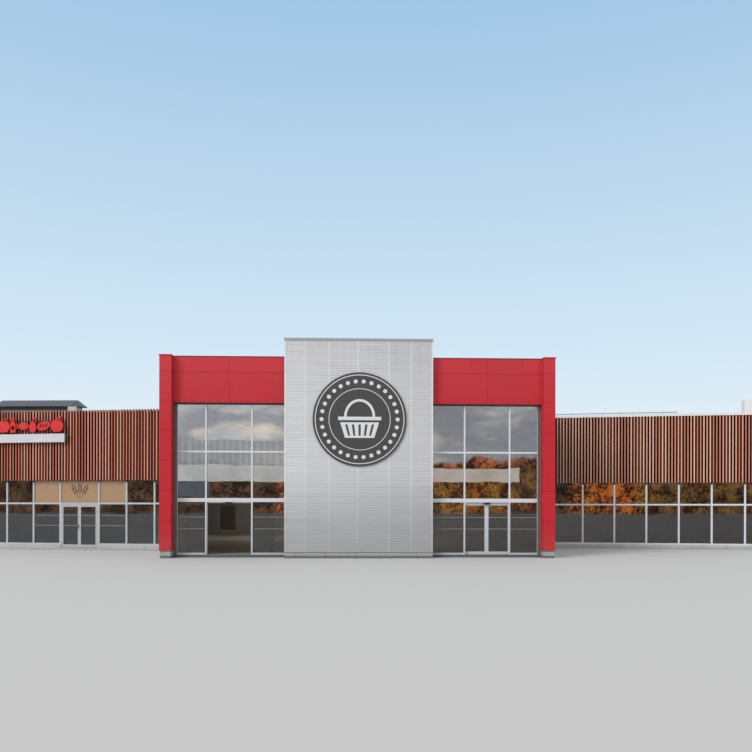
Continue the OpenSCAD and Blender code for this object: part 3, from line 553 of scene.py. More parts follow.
@dataclass(frozen=True)
class WavedSheet(Finish):
    """Pale grey waved sheet on the tower: each strip of sheet a shade apart, with soft rain marks, painted soft
    reflections in level bands and warm and cool patches, and painted shade towards the foot.
    """

    turn: float = 0.0
    joints: tuple[float, ...] = ()
    top: float = 9.16
    colour: Colour = (0.71, 0.715, 0.735)
    warm: Colour = (0.74, 0.725, 0.705)
    cool: Colour = (0.645, 0.67, 0.71)
    splash: Colour = (0.42, 0.4, 0.37)
    shade_seed: int = 4
    shade_range: float = 0.035

    def dress(self, shader: Shader) -> None:
        """Fills the nodes; see the base class."""
        place = shader.place(self.turn)
        x, _, z = shader.parts(place)
        shades = random.Random(self.shade_seed)
        tone = 1.0 + shader.noise(place, 0.4, 3.0).swing(0.07)
        for joint in self.joints:
            tone = tone + (x > joint) * shades.uniform(-self.shade_range, self.shade_range)
        runs = shader.streaks(place, 7.0, 0.3, 4.0)
        under_top = z.between(self.top - 2.2, self.top)
        # painted reflections: soft level bands, lighter and darker
        level = shader.streaks(place, 0.5, 3.2, 4.0, 0.6)
        tone = tone - under_top * runs * 0.1 - runs.swing(0.04) + level.swing(0.16)
        # painted shade: darker towards the foot
        tone = tone * (1.0 - z.between(4.2, 0.6) * 0.35)
        # painted reflections: warm patches, and cool ones lower down
        patch = shader.streaks(place, 0.2, 2.6, 4.0, 0.65)
        colour = shader.mix(patch.between(0.48, 0.66) * 0.5, self.colour, self.warm)
        colour = shader.mix(patch.between(0.5, 0.34) * z.between(5.0, 1.0), colour, self.cool)
        colour = shader.toned(colour, tone)
        splash = z.between(1.0, 0.25) * shader.noise(place, 7.0, 5.0)
        colour = shader.mix(splash * 0.22, colour, self.splash)
        shader.paint(
            Base_Color=colour, Metallic=0.12, Roughness=0.42 + runs.swing(0.14),
            Normal=shader.bump(shader.noise(place, 3.0, 2.0), 0.003, 0.4))


@dataclass(frozen=True)
class PanelWall(Finish):
    """Grey insulated panels on the unseen walls: fine level ribs, a shade apart at each panel."""

    turn: float = 0.0
    rib: float = 0.05
    panel: float = 1.15
    length: float = 6.0
    colour: Colour = (0.5, 0.505, 0.52)
    splash: Colour = (0.3, 0.28, 0.25)

    def dress(self, shader: Shader) -> None:
        """Fills the nodes; see the base class."""
        place = shader.place(self.turn)
        x, y, z = shader.parts(place)
        row = (z / self.panel).whole()
        run = ((x + y) / self.length).whole()
        cloud = shader.noise(place, 0.5, 3.0)
        runs = shader.streaks(place, 6.0, 0.25, 4.0)
        tone = 1.0 + shader.chance(shader.joined(run, 0.0, row)).swing(0.06)
        tone = tone + cloud.swing(0.08) + runs.swing(0.08)
        rib = z.fold(self.rib / 2)
        splash = z.between(1.1, 0.0) * shader.noise(place, 6.0, 5.0)
        colour = shader.mix(splash * 0.35, shader.toned(self.colour, tone), self.splash)
        shader.paint(
            Base_Color=colour, Metallic=0.05, Roughness=0.45 + cloud.swing(0.15),
            Normal=shader.bump(rib / (self.rib / 2), 0.004, 0.6))


@dataclass(frozen=True)
class Timber(Finish):
    """Stained timber slats in mixed shades: pale fronts, dark red sides, upright grain and worn ends; painted
    shade darkens the sides, the gaps and the fronts' eased edges, and a painted shadow greys the slats near the
    entrance.
    """

    start: float = 0.0
    front: float = 0.0
    pitch: float = 0.157
    low: float = 3.46
    high: float = 6.94
    # the sides' dark red is partly their own stain and partly painted shade
    side: Colour = (0.085, 0.013, 0.01)
    slat: float = 0.082
    # width of the painted shade along each front's edges
    eased: float = 0.019
    # slats left of this are greyed by the entrance block's painted shadow
    grey_left_of: float = -100.0
    light: float = 1.0
    cast: Colour = (1.0, 1.0, 1.0)
    # grey of that painted shadow
    entrance_shadow_grey: Colour = (0.36, 0.25, 0.19)
    worn: Colour = (0.25, 0.2, 0.17)
    # near black painted shade in the gaps between the slats
    gap: Colour = (0.003, 0.001, 0.001)
    shades: tuple[Colour, ...] = ((0.76, 0.37, 0.25), (0.6, 0.23, 0.155), (0.7, 0.33, 0.24),
                                  (0.52, 0.19, 0.12), (0.84, 0.47, 0.33), (0.66, 0.26, 0.16))

    def dress(self, shader: Shader) -> None:
        """Fills the nodes; see the base class."""
        place = shader.place()
        x, y, z = shader.parts(place)
        slat = ((x - self.start + self.pitch * 0.25) / self.pitch).whole()
        from_middle = (x - self.start - self.slat / 2 - slat * self.pitch).size()
        which = shader.chance(shader.joined(slat, 7.0, 0.0))
        stops = [(i / len(self.shades), tuple(part * cast for part, cast in zip(shade, self.cast)))
                 for i, shade in enumerate(self.shades)]
        colour = shader.ramp(which, stops, sharp=True)
        shifted = shader.joined(x * 40.0, slat * 3.7, z * 1.1)
        grain = shader.noise(shifted, 1.6, 5.0, 0.62)
        fine = shader.noise(shader.joined(x * 160.0, slat * 5.1, z * 3.0), 1.0, 3.0)
        tone = self.light + grain.swing(0.5) + fine.swing(0.2)
        # painted shadow of the entrance block: the slats to the left turn grey
        grey = x.between(self.grey_left_of + 6.0, self.grey_left_of - 2.0)
        colour = shader.toned(shader.mix(grey * 0.4, colour, self.entrance_shadow_grey), tone)
        # painted shade on the eased edges of each front
        rounded = from_middle.between(self.slat / 2 - self.eased, self.slat / 2)
        colour = shader.toned(colour, 1.0 - rounded * 0.8)
        ends = z.between(self.high - 0.25, self.high) + z.between(self.low + 0.3, self.low)
        colour = shader.mix(ends * grain * 0.35, colour, self.worn)
        # painted shade: the sides darken deeper in, and the gaps turn near black
        depth = y - self.front
        colour = shader.mix(depth.between(0.0, 0.006) * 0.9, colour, shader.toned(self.side, tone))
        colour = shader.mix(depth.between(0.008, 0.045) * 0.94, colour, self.gap)
        shader.paint(
            Base_Color=colour, Roughness=0.65 + grain.swing(0.3), Specular_IOR_Level=0.12,
            Normal=shader.bump(grain * 0.7 + fine * 0.3, 0.0016, 0.5))


@dataclass(frozen=True)
class Concrete(Finish):
    """Cast concrete: clouds, pores, joints at a pitch and damp near the ground; where set, painted shade above a
    level and a darker band at the foot.
    """

    colour: Colour = (0.46, 0.46, 0.47)
    joint_pitch: float = 1.8
    joint_shift: float = 0.4
    joint: float = 0.012
    shaded_over: float = 100.0
    darker_under: float = -1.0
    damp: Colour = (0.2, 0.18, 0.16)
    joint_colour: Colour = (0.1, 0.09, 0.08)

    def dress(self, shader: Shader) -> None:
        """Fills the nodes; see the base class."""
        place = shader.place()
        x, _, z = shader.parts(place)
        cloud = shader.noise(place, 1.1, 5.0, 0.6)
        grit = shader.noise(place, 45.0, 4.0, 0.7)
        pores = shader.noise(place, 130.0, 1.0).between(0.36, 0.3)
        tone = 1.0 + cloud.swing(0.35) + grit.swing(0.16) - pores * 0.3
        # painted shade above the shaded level, and a darker band at the foot where set
        darker_foot = z.between(self.darker_under + 0.03, self.darker_under - 0.03)
        colour = shader.toned(self.colour, tone * (1.0 - ((z > self.shaded_over) * 0.45 + darker_foot * 0.62)))
        joint = (x + self.joint_shift).fold(self.joint_pitch / 2) < self.joint / 2
        damp = z.between(0.16, 0.0) * shader.noise(place, 3.0, 4.0)
        colour = shader.mix(damp * 0.6, colour, self.damp)
        colour = shader.mix(joint * 0.75, colour, self.joint_colour)
        shader.paint(
            Base_Color=colour, Roughness=0.82 + grit.swing(0.2),
            Normal=shader.bump(grit - pores * 0.8 - joint * 2.0, 0.002, 0.6))


@dataclass(frozen=True)
class TiledFloor(Finish):
    """Shop floor tiles with thin joints, a little worn; what lies before the glass is dark coarse paving."""

    tile: float = 0.6
    joint: float = 0.006
    turn: float = 0.0
    front: float = -100.0
    paving: Colour = (0.11, 0.11, 0.115)
    colour: Colour = (0.42, 0.4, 0.37)
    joint_colour: Colour = (0.1, 0.095, 0.09)

    def dress(self, shader: Shader) -> None:
        """Fills the nodes; see the base class."""
        place = shader.place(self.turn)
        x, y, _ = shader.parts(place)
        tile = shader.joined((x / self.tile).whole(), (y / self.tile).whole(), 0.0)
        tone = 1.0 + shader.chance(tile).swing(0.08) + shader.noise(place, 2.0, 5.0).swing(0.2)
        line = self.joint / 2
        joint = (x.fold(self.tile / 2) < line) + (y.fold(self.tile / 2) < line)
        colour = shader.mix(joint * 0.7, shader.toned(self.colour, tone), self.joint_colour)
        wear = shader.noise(place, 0.8, 4.0)
        outside = y < self.front
        grit = shader.noise(place, 70.0, 4.0, 0.7)
        colour = shader.mix(outside, colour, shader.toned(self.paving, 0.6 + grit * 0.8))
        shader.paint(
            Base_Color=colour, Roughness=0.3 + wear * 0.25 + outside * 0.35,
            Normal=shader.bump(1.0 - joint + outside * grit, 0.001, 0.5))


@dataclass(frozen=True)
class Membrane(Finish):
    """Grey roofing sheet with dried puddles and fine grit."""

    colour: Colour = (0.3, 0.305, 0.31)
    dried: Colour = (0.22, 0.215, 0.205)
    rim: Colour = (0.4, 0.39, 0.375)

    def dress(self, shader: Shader) -> None:
        """Fills the nodes; see the base class."""
        place = shader.place()
        pond = shader.noise(place, 0.3, 5.0, 0.55)
        rim = pond.between(0.52, 0.56) * pond.between(0.62, 0.57)
        grit = shader.noise(place, 60.0, 3.0, 0.7)
        tone = 1.0 + grit.swing(0.22) + shader.noise(place, 1.7, 5.0).swing(0.22)
        colour = shader.toned(self.colour, tone)
        colour = shader.mix(pond.between(0.55, 0.62) * 0.25, colour, self.dried)
        colour = shader.mix(rim * 0.14, colour, self.rim)
        shader.paint(
            Base_Color=colour, Roughness=0.8 + grit.swing(0.2), Normal=shader.bump(grit, 0.0015, 0.5))


@dataclass(frozen=True)
class Glazing(Finish):
    """Coated glazing: a faint tint, a mirror that grows aslant, and slow waves in its face.

    The panes of the unseen walls, whose middles lie on the given lines, are near black outside and have pale
    blinds inside.
    """

    tint: Colour = (0.66, 0.68, 0.66)
    mirror: float = 0.27
    deep: float = 100.0
    left: float = -100.0
    right: float = 100.0
    reach: float = 0.1
    coating: Colour = (0.93, 0.95, 0.97)
    dark: Colour = (0.3, 0.32, 0.34)
    blind: Colour = (0.72, 0.68, 0.62)
    index: float = 1.5

    def dress(self, shader: Shader) -> None:
        """Fills the nodes; see the base class."""
        place = shader.place()
        x, y, _ = shader.parts(place)
        wave = shader.noise(place, 0.9, 1.0)
        dust = shader.streaks(place, 3.0, 1.2, 5.0, 0.65)
        unseen = ((y > self.deep - self.reach) + (x < self.left + self.reach)
                  + (x > self.right - self.reach))
        outer = (y > self.deep) + (x < self.left) + (x > self.right)
        inner = unseen - outer
        backed = shader.mix(inner, self.dark, self.blind)
        clear = shader.node("ShaderNodeBsdfTransparent", {}, {"Color": (*self.tint, 1.0)})
        mirror = shader.principled(
            Base_Color=shader.mix(unseen, self.coating, backed), Metallic=1.0,
            Roughness=dust * 0.012 + inner * 0.7, Normal=shader.bump(wave, 0.004, 0.25))
        aslant = Signal(shader, shader.node("ShaderNodeFresnel", {}, {"IOR": self.index}).outputs[0])
        share = aslant * (1.0 - self.mirror) + self.mirror + dust * 0.03 + unseen * 0.75
        both = shader.node("ShaderNodeMixShader", {}, {0: share, 1: clear.outputs[0], 2: mirror.outputs[0]})
        shader.out(both)


@dataclass(frozen=True)
class Enamel(Finish):
    """Back-painted glass panels: an even colour under a gloss, paler where the light falls."""

    colour: Colour = (0.43, 0.275, 0.16)

    def dress(self, shader: Shader) -> None:
        """Fills the nodes; see the base class."""
        place = shader.place()
        cloud = shader.noise(place, 0.9, 3.0)
        rain = shader.streaks(place, 8.0, 0.8, 3.0)
        colour = shader.toned(self.colour, 1.0 + cloud.swing(0.12) + rain.swing(0.06))
        shader.paint(
            Base_Color=colour, Roughness=0.22 + rain.swing(0.1), Coat_Weight=0.3, Coat_Roughness=0.06)


@dataclass(frozen=True)
class Board(Finish):
    """Dark boards behind the slats, or plain board inside, with upright butt joints.

    The back of each wing's wall, past its own line, is a pale sheet.
    """

    colour: Colour = (0.011, 0.009, 0.009)
    board: float = 1.2
    joint: float = 0.004
    left_back: float = 100.0
    right_back: float = 100.0
    back: Colour = (0.5, 0.5, 0.5)

    def dress(self, shader: Shader) -> None:
        """Fills the nodes; see the base class."""
        place = shader.place()
        x, y, _ = shader.parts(place)
        speck = shader.noise(place, 22.0, 4.0, 0.65)
        joint = x.fold(self.board / 2) < self.joint
        tone = 1.0 + shader.chance(shader.joined((x / self.board).whole(), 1.0, 0.0)).swing(0.2)
        behind = (x < 0.0) * (y > self.left_back) + (x > 0.0) * (y > self.right_back)
        tone = tone + speck.swing(0.5 - behind * 0.3) - joint * 0.6
        colour = shader.toned(shader.mix(behind, self.colour, self.back), tone)
        shader.paint(
            Base_Color=colour, Roughness=0.8 + speck.swing(0.2), Specular_IOR_Level=0.2,
            Normal=shader.bump(speck, 0.001, 0.4))


@dataclass(frozen=True)
class Galvanised(Finish):
    """Zinc coated steel with a faint spangle."""

    colour: Colour = (0.5, 0.52, 0.54)
    spangles: float = 60.0

    def dress(self, shader: Shader) -> None:
        """Fills the nodes; see the base class."""
        place = shader.place()
        cells = shader.node("ShaderNodeTexVoronoi", {}, {"Vector": place, "Scale": self.spangles})
        spangle = shader.parts(Signal(shader, cells.outputs[1]))[0]
        dull = shader.noise(place, 4.0, 4.0)
        colour = shader.toned(self.colour, 0.9 + spangle * 0.16 + dull.swing(0.2))
        shader.paint(Base_Color=colour, Metallic=0.75, Roughness=0.42 + spangle * 0.1)


@dataclass(frozen=True)
class Moulded(Finish):
    """Rubber, plastic or acrylic: a colour with a fine grain and a set gloss."""

    colour: Colour = (0.02, 0.02, 0.022)
    roughness: float = 0.5
    gloss: float = 0.0
    grain: float = 300.0

    def dress(self, shader: Shader) -> None:
        """Fills the nodes; see the base class."""
        place = shader.place()
        grain = shader.noise(place, self.grain, 2.0)
        cloud = shader.noise(place, 1.8, 3.0)
        colour = shader.toned(self.colour, 1.0 + cloud.swing(0.1) + grain.swing(0.06))
        shader.paint(
            Base_Color=colour, Roughness=self.roughness + grain.swing(0.08), Coat_Weight=self.gloss,
            Coat_Roughness=0.1, Normal=shader.bump(grain, 0.0004, 0.3))


@dataclass(frozen=True)
class Entrance:
    """The entrance block's own frame, turned against the wings."""

    turn: float

    @classmethod
    def from_joints(cls, joints: Iterable[Mapping[str, Any]]) -> "Entrance":
        """Reads the angle from a sliding door's axis.

        Args:
            joints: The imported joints.

        Returns:
            The frame.
        """
        axis = next(j["axis"] for j in joints if j["name"] == "right_entrance_slide")
        return cls(math.atan2(axis[1], axis[0]))

    @property
    def to_row(self) -> Matrix:
        """What turns this frame into the row's."""
        return Matrix.Rotation(self.turn, 4, "Z")

    @property
    def from_row(self) -> Matrix:
        """What turns the row's frame into this one."""
        return Matrix.Rotation(-self.turn, 4, "Z")


class Finishes:
    """Every finish of the building, with its sizes read from the frame."""

    half_pane: float = 0.012
    jamb_gap: float = 0.001
    # how far under the fascias and the slats the frames' painted shadow reaches
    painted_fascia_shadow: float = 0.045
    painted_slat_shadow: float = 0.075

    def __init__(self, entrance: Entrance) -> None:
        """Makes the finishes.

        Args:
            entrance: The entrance block's frame.
        """
        turn, own = entrance.turn, entrance.from_row
        joints = tuple((low.x + high.x) / 2 for low, high in solids_of("tower_trims", own))
        pillar_foot = box_of("red_pillars")[0].z
        slat_foot = box_of("left_slat_screen")[0].z
        # painted shadow: the entrance frame is dark just under the red fascias
        self.frame = Joinery("entrance_frame_coating", turn=turn,
                             jamb=box_of("entrance_glass", own)[1].x + self.jamb_gap,
                             head=box_of("red_fascias")[0].z - self.painted_fascia_shadow)
        # painted shadow: the wing frames are dark just under the slat screens, with painted shade on the left wing
        self.wing_frame = Joinery("wing_frame_coating", dark=(0.04, 0.04, 0.042),
                                  head=slat_foot - self.painted_slat_shadow, painted_shade_left_of=0.0, foot=1.0)
        self.door_frame = Joinery("shop_door_coating", (0.46, 0.475, 0.5), foot=1.0)
        self.trim = Coping("trim_coating", (0.78, 0.78, 0.79), roughness=0.34, streaks=0.1)
        self.strip = WavedSheet("strip_coating", turn, top=box_of("tower_trims")[1].z,
                                colour=(0.81, 0.815, 0.835))
        self.tower = WavedSheet("tower_sheet", turn, joints, box_of("tower_cladding")[1].z)
        self.red = RedSheet("red_sheet", turn, pillar_foot)
        self.red_edge = Coated("red_edge", (0.2, 0.012, 0.02), roughness=0.4, dust=0.0)
        self.entrance_wall = PanelWall("entrance_panels", turn)
        self.wall = PanelWall("wall_panels")
        self.pier = PanelWall("pier_panels", colour=(0.56, 0.515, 0.49))
        # painted shade: the left screen's fronts are dimmed by a light below one
        self.left_timber = self._timber("left_timber", "left_slat_screen", light=0.84, cast=(1.0, 0.8, 0.82))
        self.right_timber = self._timber("right_timber", "right_slat_screen", light=0.98, grey_left_of=10.0)
        self.concrete = Concrete("plinth_concrete")
        # the footing's top takes painted shade just under the cladding and pillars, and its foot is darker
        self.footing = Concrete("footing_concrete", (0.37, 0.37, 0.375), joint_pitch=1.257, joint_shift=0.0,
                                joint=0.02, shaded_over=pillar_foot - 0.06, darker_under=0.1)
        self.floor = TiledFloor("floor_tiles")
        self.porch = TiledFloor("porch_tiles", turn=turn, front=box_of("entrance_mullions", own)[0].y)
        self.roof = Membrane("roof_membrane")
        self.seam = Membrane("roof_seam", (0.25, 0.255, 0.26))
        low, high = box_of("window_glass")
        self.glass = Glazing("clear_glazing", deep=high.y - self.half_pane, left=low.x + self.half_pane,
                             right=high.x - self.half_pane)
        self.panel = Enamel("beige_enamel")
        self.dark_wall = Board("dark_board", left_back=3.05, right_back=9.65)
        self.inner_board = Board("inner_board", (0.46, 0.39, 0.33))
        self.raised_sheet = Coated("raised_sheet", (0.12, 0.12, 0.122), roughness=0.5, dust=0.0, streaks=0.2)
        self.eave, self.eave_rib = (Coated(name, colour, roughness=0.42, dust=0.0, streaks=0.12)
                                    for name, colour in (("eave_coating", (0.09, 0.09, 0.105)),
                                                         ("eave_rib_coating", (0.23, 0.23, 0.26))))
        self.strip_wall = Coated("green_grey_sheet", (0.46, 0.45, 0.41), 0.5, dust=0.0, streaks=0.15)
        self.steel = Galvanised("galvanised_steel")
        self.rubber = Moulded("gasket_rubber", (0.014, 0.014, 0.015), 0.65)
        self.fitting = Moulded("dark_fitting", (0.025, 0.025, 0.028), 0.38, gloss=0.1)
        self.lens = Moulded("dark_lens", (0.008, 0.006, 0.008), 0.12, gloss=0.8)
        self.disc = Moulded("disc_face", (0.06, 0.057, 0.055), 0.42, gloss=0.1, grain=60.0)
        self.disc_mark = Moulded("disc_mark", (0.72, 0.73, 0.77), 0.4, gloss=0.1, grain=60.0)
        self.sign_red = Moulded("sign_red", (0.68, 0.014, 0.02), 0.3, gloss=0.12, grain=60.0)
        self.sign_edge = Moulded("sign_red_edge", (0.3, 0.008, 0.012), 0.35, grain=60.0)
        self.sign_bar = Moulded("sign_bar", (0.62, 0.64, 0.68), 0.4, gloss=0.05, grain=60.0)
        self.marking = Moulded("marking_film", (0.34, 0.35, 0.36), 0.6, grain=120.0)
        self.brown_mark = Moulded("brown_mark", (0.05, 0.028, 0.022), 0.5, grain=120.0)

    @staticmethod
    def _timber(name: str, node: str, **looks: Any) -> Timber:
        """The timber of a screen, with its slats' places read from the top edge.

        Args:
            name: The material's name.
            node: The screen's CAD node.
            looks: The screen's own shades.

        Returns:
            The finish.
        """
        low, high = box_of(node)
        points = [v.co for v in frame["nodes"][node].data.vertices]
        edges = sorted({round(p.x, 4) for p in points if p.z > high.z - SAME_LEVEL})
        return Timber(name, start=edges[0], front=low.y, pitch=edges[2] - edges[0], low=low.z, high=high.z,
                      slat=edges[1] - edges[0], **looks)

    def dress_nodes(self) -> None:
        """Gives every CAD node its finish, by the record's slots and a few nodes' own."""
        by_slot = {
            "floor_concrete": self.floor, "wall_board": self.inner_board, "grey_cladding": self.wall,
            "pale_concrete": self.concrete, "red_cladding": self.red, "roof_sheet": self.roof,
            "white_frame": self.frame, "window_glass": self.glass, "beige_panel": self.panel,
            "dark_wall": self.dark_wall, "timber_slats": self.left_timber, "white_trim": self.trim,
            "eave_metal": self.eave, "rail_steel": self.steel, "dark_fitting": self.fitting,
        }
        own = {
            self.tower: ("tower_cladding",),
            self.strip: ("tower_trims",),
            self.right_timber: ("right_slat_screen",),
            self.entrance_wall: ("tower_side_walls", "tower_upper_walls", "tower_rear_wall",
                                 "portal_side_walls", "portal_upper_wall"),
            self.footing: ("entrance_footings",),
            self.porch: ("portal_floor",),
            self.raised_sheet: ("raised_front_walls", "raised_side_walls"),
            self.pier: ("raised_corner_pier",),
            self.wing_frame: ("window_mullions", "window_rails", "side_window_frames"),
            self.door_frame: ("shop_door_frame", "shop_door_left_leaf", "shop_door_right_leaf"),
        }
        by_node = {node: finish for finish, nodes in own.items() for node in nodes}
        slots = {s["node"]: s.get("material_slot") for s in frame["record"].get("subparts", [])}
        for name, node in frame["nodes"].items():
            finish = by_node.get(name) or by_slot[slots[name]]
            finish.cover(node.data)
        log.info("dressed %d CAD nodes", len(frame["nodes"]))


class Shape(Enum):
    """The forms that a row repeats."""

    BAR = "bar"
    SCREW = "screw"
    DOT = "dot"


class GeometryTree(Tree):
    """A Geometry Nodes tree with named inputs that ends in one finished mesh."""

    def __init__(self, name: str, inputs: Mapping[str, str]) -> None:
        """Makes the tree and its inputs.

        Args:
            name: The tree's name.
            inputs: Names of the inputs and their socket kinds.
        """
        super().__init__(bpy.data.node_groups.new(name, "GeometryNodeTree"))
        face = self.tree.interface
        face.new_socket("Geometry", in_out="OUTPUT", socket_type="NodeSocketGeometry")
        for label, kind in inputs.items():
            face.new_socket(label, in_out="INPUT", socket_type=f"NodeSocket{kind}")
        face.new_socket("Finish", in_out="INPUT", socket_type="NodeSocketMaterial")
        self.given = self.node("NodeGroupInput").outputs

    def close(self, instances: bpy.types.NodeSocket) -> None:
        """Ends the tree: instances are realized and get the finish.

        Args:
            instances: The geometry so far.
        """
        real = self.node("GeometryNodeRealizeInstances", {}, {0: instances})
        finished = self.node("GeometryNodeSetMaterial", {},
                             {"Geometry": real.outputs[0], "Material": self.given["Finish"]})
        self.node("NodeGroupOutput", {}, {0: finished.outputs[0]})

    def mesh(self, name: str, finish: Finish, values: Mapping[str, Any]) -> bpy.types.Mesh:
        """Runs the tree.

        Args:
            name: The mesh's name.
            finish: What the mesh is made of.
            values: The other inputs' values by name.

        Returns:
            A plain mesh.
        """
        given = {**values, "Finish": finish.material()}
        holder = placed(f"{name}_holder", bpy.data.meshes.new(f"{name}_seed"))
        modifier = holder.modifiers.new("Repeat", "NODES")
        modifier.node_group = self.tree
        for socket in self.tree.interface.items_tree:
            if socket.in_out == "INPUT" and socket.name in given:
                modifier[socket.identifier] = given[socket.name]
        return plain_mesh(name, holder)


class RowTree(GeometryTree):
    """Repeats a shape in rows and columns."""

    def __init__(self, shape: Shape) -> None:
        """Builds the tree for one shape.

        Args:
            shape: What is repeated.
        """
        super().__init__(f"rows_of_{shape.value}s", {
            "Start": "Vector", "Step": "Vector", "Count": "Int", "Row Step": "Vector", "Rows": "Int",
            "Size": "Vector", "Turn": "Vector"})
        given = self.given
        line = self.node("GeometryNodeMeshLine", {"mode": "OFFSET"}, {
            "Count": given["Count"], "Start Location": given["Start"], "Offset": given["Step"]})
        column = self.node("GeometryNodeMeshLine", {"mode": "OFFSET"}, {
            "Count": given["Rows"], "Offset": given["Row Step"]})
        spread = self.node("GeometryNodeInstanceOnPoints", {}, {
            "Points": line.outputs[0], "Instance": column.outputs[0]})
        points = self.node("GeometryNodeRealizeInstances", {}, {0: spread.outputs[0]})
        turned = self.node("FunctionNodeEulerToRotation", {}, {0: given["Turn"]})
        shapes = self.node("GeometryNodeInstanceOnPoints", {}, {
            "Points": points.outputs[0], "Instance": self._shape(shape), "Rotation": turned.outputs[0],
            "Scale": given["Size"]})
        self.close(shapes.outputs[0])

    def _shape(self, shape: Shape) -> bpy.types.NodeSocket:
        """A shape one metre across, for the size to scale.

        Args:
            shape: What is made.

        Returns:
            Its geometry.
        """
        kind, sockets = {
            Shape.BAR: ("GeometryNodeMeshCube", {}),
            Shape.SCREW: ("GeometryNodeMeshUVSphere", {"Segments": 10, "Rings": 6, "Radius": 0.5}),
            Shape.DOT: ("GeometryNodeMeshCylinder", {"Vertices": 20, "Radius": 0.5, "Depth": 1.0}),
        }[shape]
        return self.node(kind, {}, sockets).outputs[0]


class RingTree(GeometryTree):
    """Repeats a round dot in a ring that faces the front."""

    def __init__(self) -> None:
        """Builds the tree."""
        super().__init__("ring_of_dots", {
            "Centre": "Vector", "Radius": "Float", "Count": "Int", "Dot": "Float", "Thickness": "Float"})
        given = self.given
        circle = self.node("GeometryNodeMeshCircle", {}, {
            "Vertices": given["Count"], "Radius": given["Radius"]})
        dot = self.node("GeometryNodeMeshCylinder", {}, {
            "Vertices": 24, "Radius": given["Dot"], "Depth": given["Thickness"]})
        spread = self.node("GeometryNodeInstanceOnPoints", {}, {
            "Points": circle.outputs[0], "Instance": dot.outputs[0]})
        upright = self.node("GeometryNodeTransform", {}, {
            "Geometry": spread.outputs[0], "Translation": given["Centre"],
            "Rotation": (math.pi / 2, 0.0, 0.0)})
        self.close(upright.outputs[0])


class Forms:
    """Meshes that several sub-assemblies share."""

    @staticmethod
    def closed(made: bmesh.types.BMesh, name: str) -> bpy.types.Mesh:
        """Turns a closed shape's faces outwards and makes it a mesh.

        Args:
            made: The shape, which is freed.
            name: The mesh's name.

        Returns:
            The mesh.
        """
        bmesh.ops.recalc_face_normals(made, faces=made.faces)
        mesh = bpy.data.meshes.new(name)
        made.to_mesh(mesh)
        made.free()
        return mesh

    @staticmethod
    def add_ring(made: bmesh.types.BMesh, pane: Box, side: int, profile: Sequence[Pair]) -> None:
        """Adds a mitred frame along a pane's edge.

        Args:
            made: The shape that it is added to.
            pane: The pane's corners.
            side: 1 for the pane's higher face and -1 for its lower one.
            profile: The frame's section: distance in from the edge, and out from the glass.
        """
        low, high = pane
        thin = 0 if high.x - low.x < high.y - low.y else 1
        across = 1 - thin
        face = high[thin] if side > 0 else low[thin]
        rings = []
        for inset, out in profile:
            ring = []
            for u, v in ((0, 0), (1, 0), (1, 1), (0, 1)):
                point = Vector((0.0, 0.0, 0.0))
                point[thin] = face + side * out
                point[across] = high[across] - inset if u else low[across] + inset
                point.z = high.z - inset if v else low.z + inset
                ring.append(made.verts.new(point))
            rings.append(ring)
        for one, other in zip(rings, rings[1:] + rings[:1]):
            for i in range(4):
                j = (i + 1) % 4
                made.faces.new((one[i], one[j], other[j], other[i]))

    @staticmethod
    def add_block(made: bmesh.types.BMesh, low: Triple, high: Triple, bevel: float = 0.0) -> None:
        """Adds a box, with softened edges where a bevel is given.

        Args:
            made: The shape that it is added to.
            low: Its lowest corner.
            high: Its highest corner.
            bevel: How far its edges are cut back.
        """
        size = Vector(high) - Vector(low)
        middle = (Vector(high) + Vector(low)) / 2
        place = Matrix.Translation(middle) @ Matrix.Diagonal((*size, 1.0))
        corner_points = bmesh.ops.create_cube(made, size=1.0, matrix=place)["verts"]
        if bevel:
            edges = list({e for v in corner_points for e in v.link_edges})
            bmesh.ops.bevel(made, geom=edges, offset=bevel, segments=2, affect="EDGES", profile=0.6)

    @staticmethod
    def oval(x: float, y: float, wide: float, high: float, lean: float = 0.0, steps: int = 28) -> Loop:
        """An oval outline.

        Args:
            x: Its centre along the level.
            y: Its centre's height.
            wide: Half its width.
            high: Half its height.
            lean: The angle that it leans by, in radians.
            steps: How many points it has.

        Returns:
            The outline.
        """
        points = []
        for i in range(steps):
            a = 2 * math.pi * i / steps
            u, v = wide * math.cos(a), high * math.sin(a)
            points.append((x + u * math.cos(lean) - v * math.sin(lean),
                           y + u * math.sin(lean) + v * math.cos(lean)))
        return points

    @staticmethod
    def flat(name: str, loops: Sequence[Loop], thickness: float, at: Triple,
             bevel: float = 0.0) -> bpy.types.Mesh:
        """A flat shape with holes, standing upright and facing the front.

        Args:
            name: The mesh's name.
            loops: Its outlines; a loop inside another is a hole.
            thickness: How thick it is.
            at: Where the outlines' origin lies on its back.
            bevel: How far its edges are rounded.

        Returns:
            The mesh.
        """
        curve = bpy.data.curves.new(f"{name}_outline", "CURVE")
        curve.dimensions = "2D"
        curve.fill_mode = "BOTH"
        curve.extrude = thickness / 2 - bevel
        curve.bevel_depth = bevel
        curve.bevel_resolution = 1
        curve.offset = -bevel
        for loop in loops:
            spline = curve.splines.new("POLY")
            spline.points.add(len(loop) - 1)
            for point, (x, y) in zip(spline.points, loop):
                point.co = (x, y, 0.0, 1.0)
            spline.use_cyclic_u = True
        mesh = plain_mesh(name, placed(f"{name}_holder", curve))
        mesh.transform(Matrix.Translation((0.0, -thickness / 2, 0.0)) @ Matrix.Rotation(math.pi / 2, 4, "X"))
        mesh.transform(Matrix.Translation(at))
        return mesh


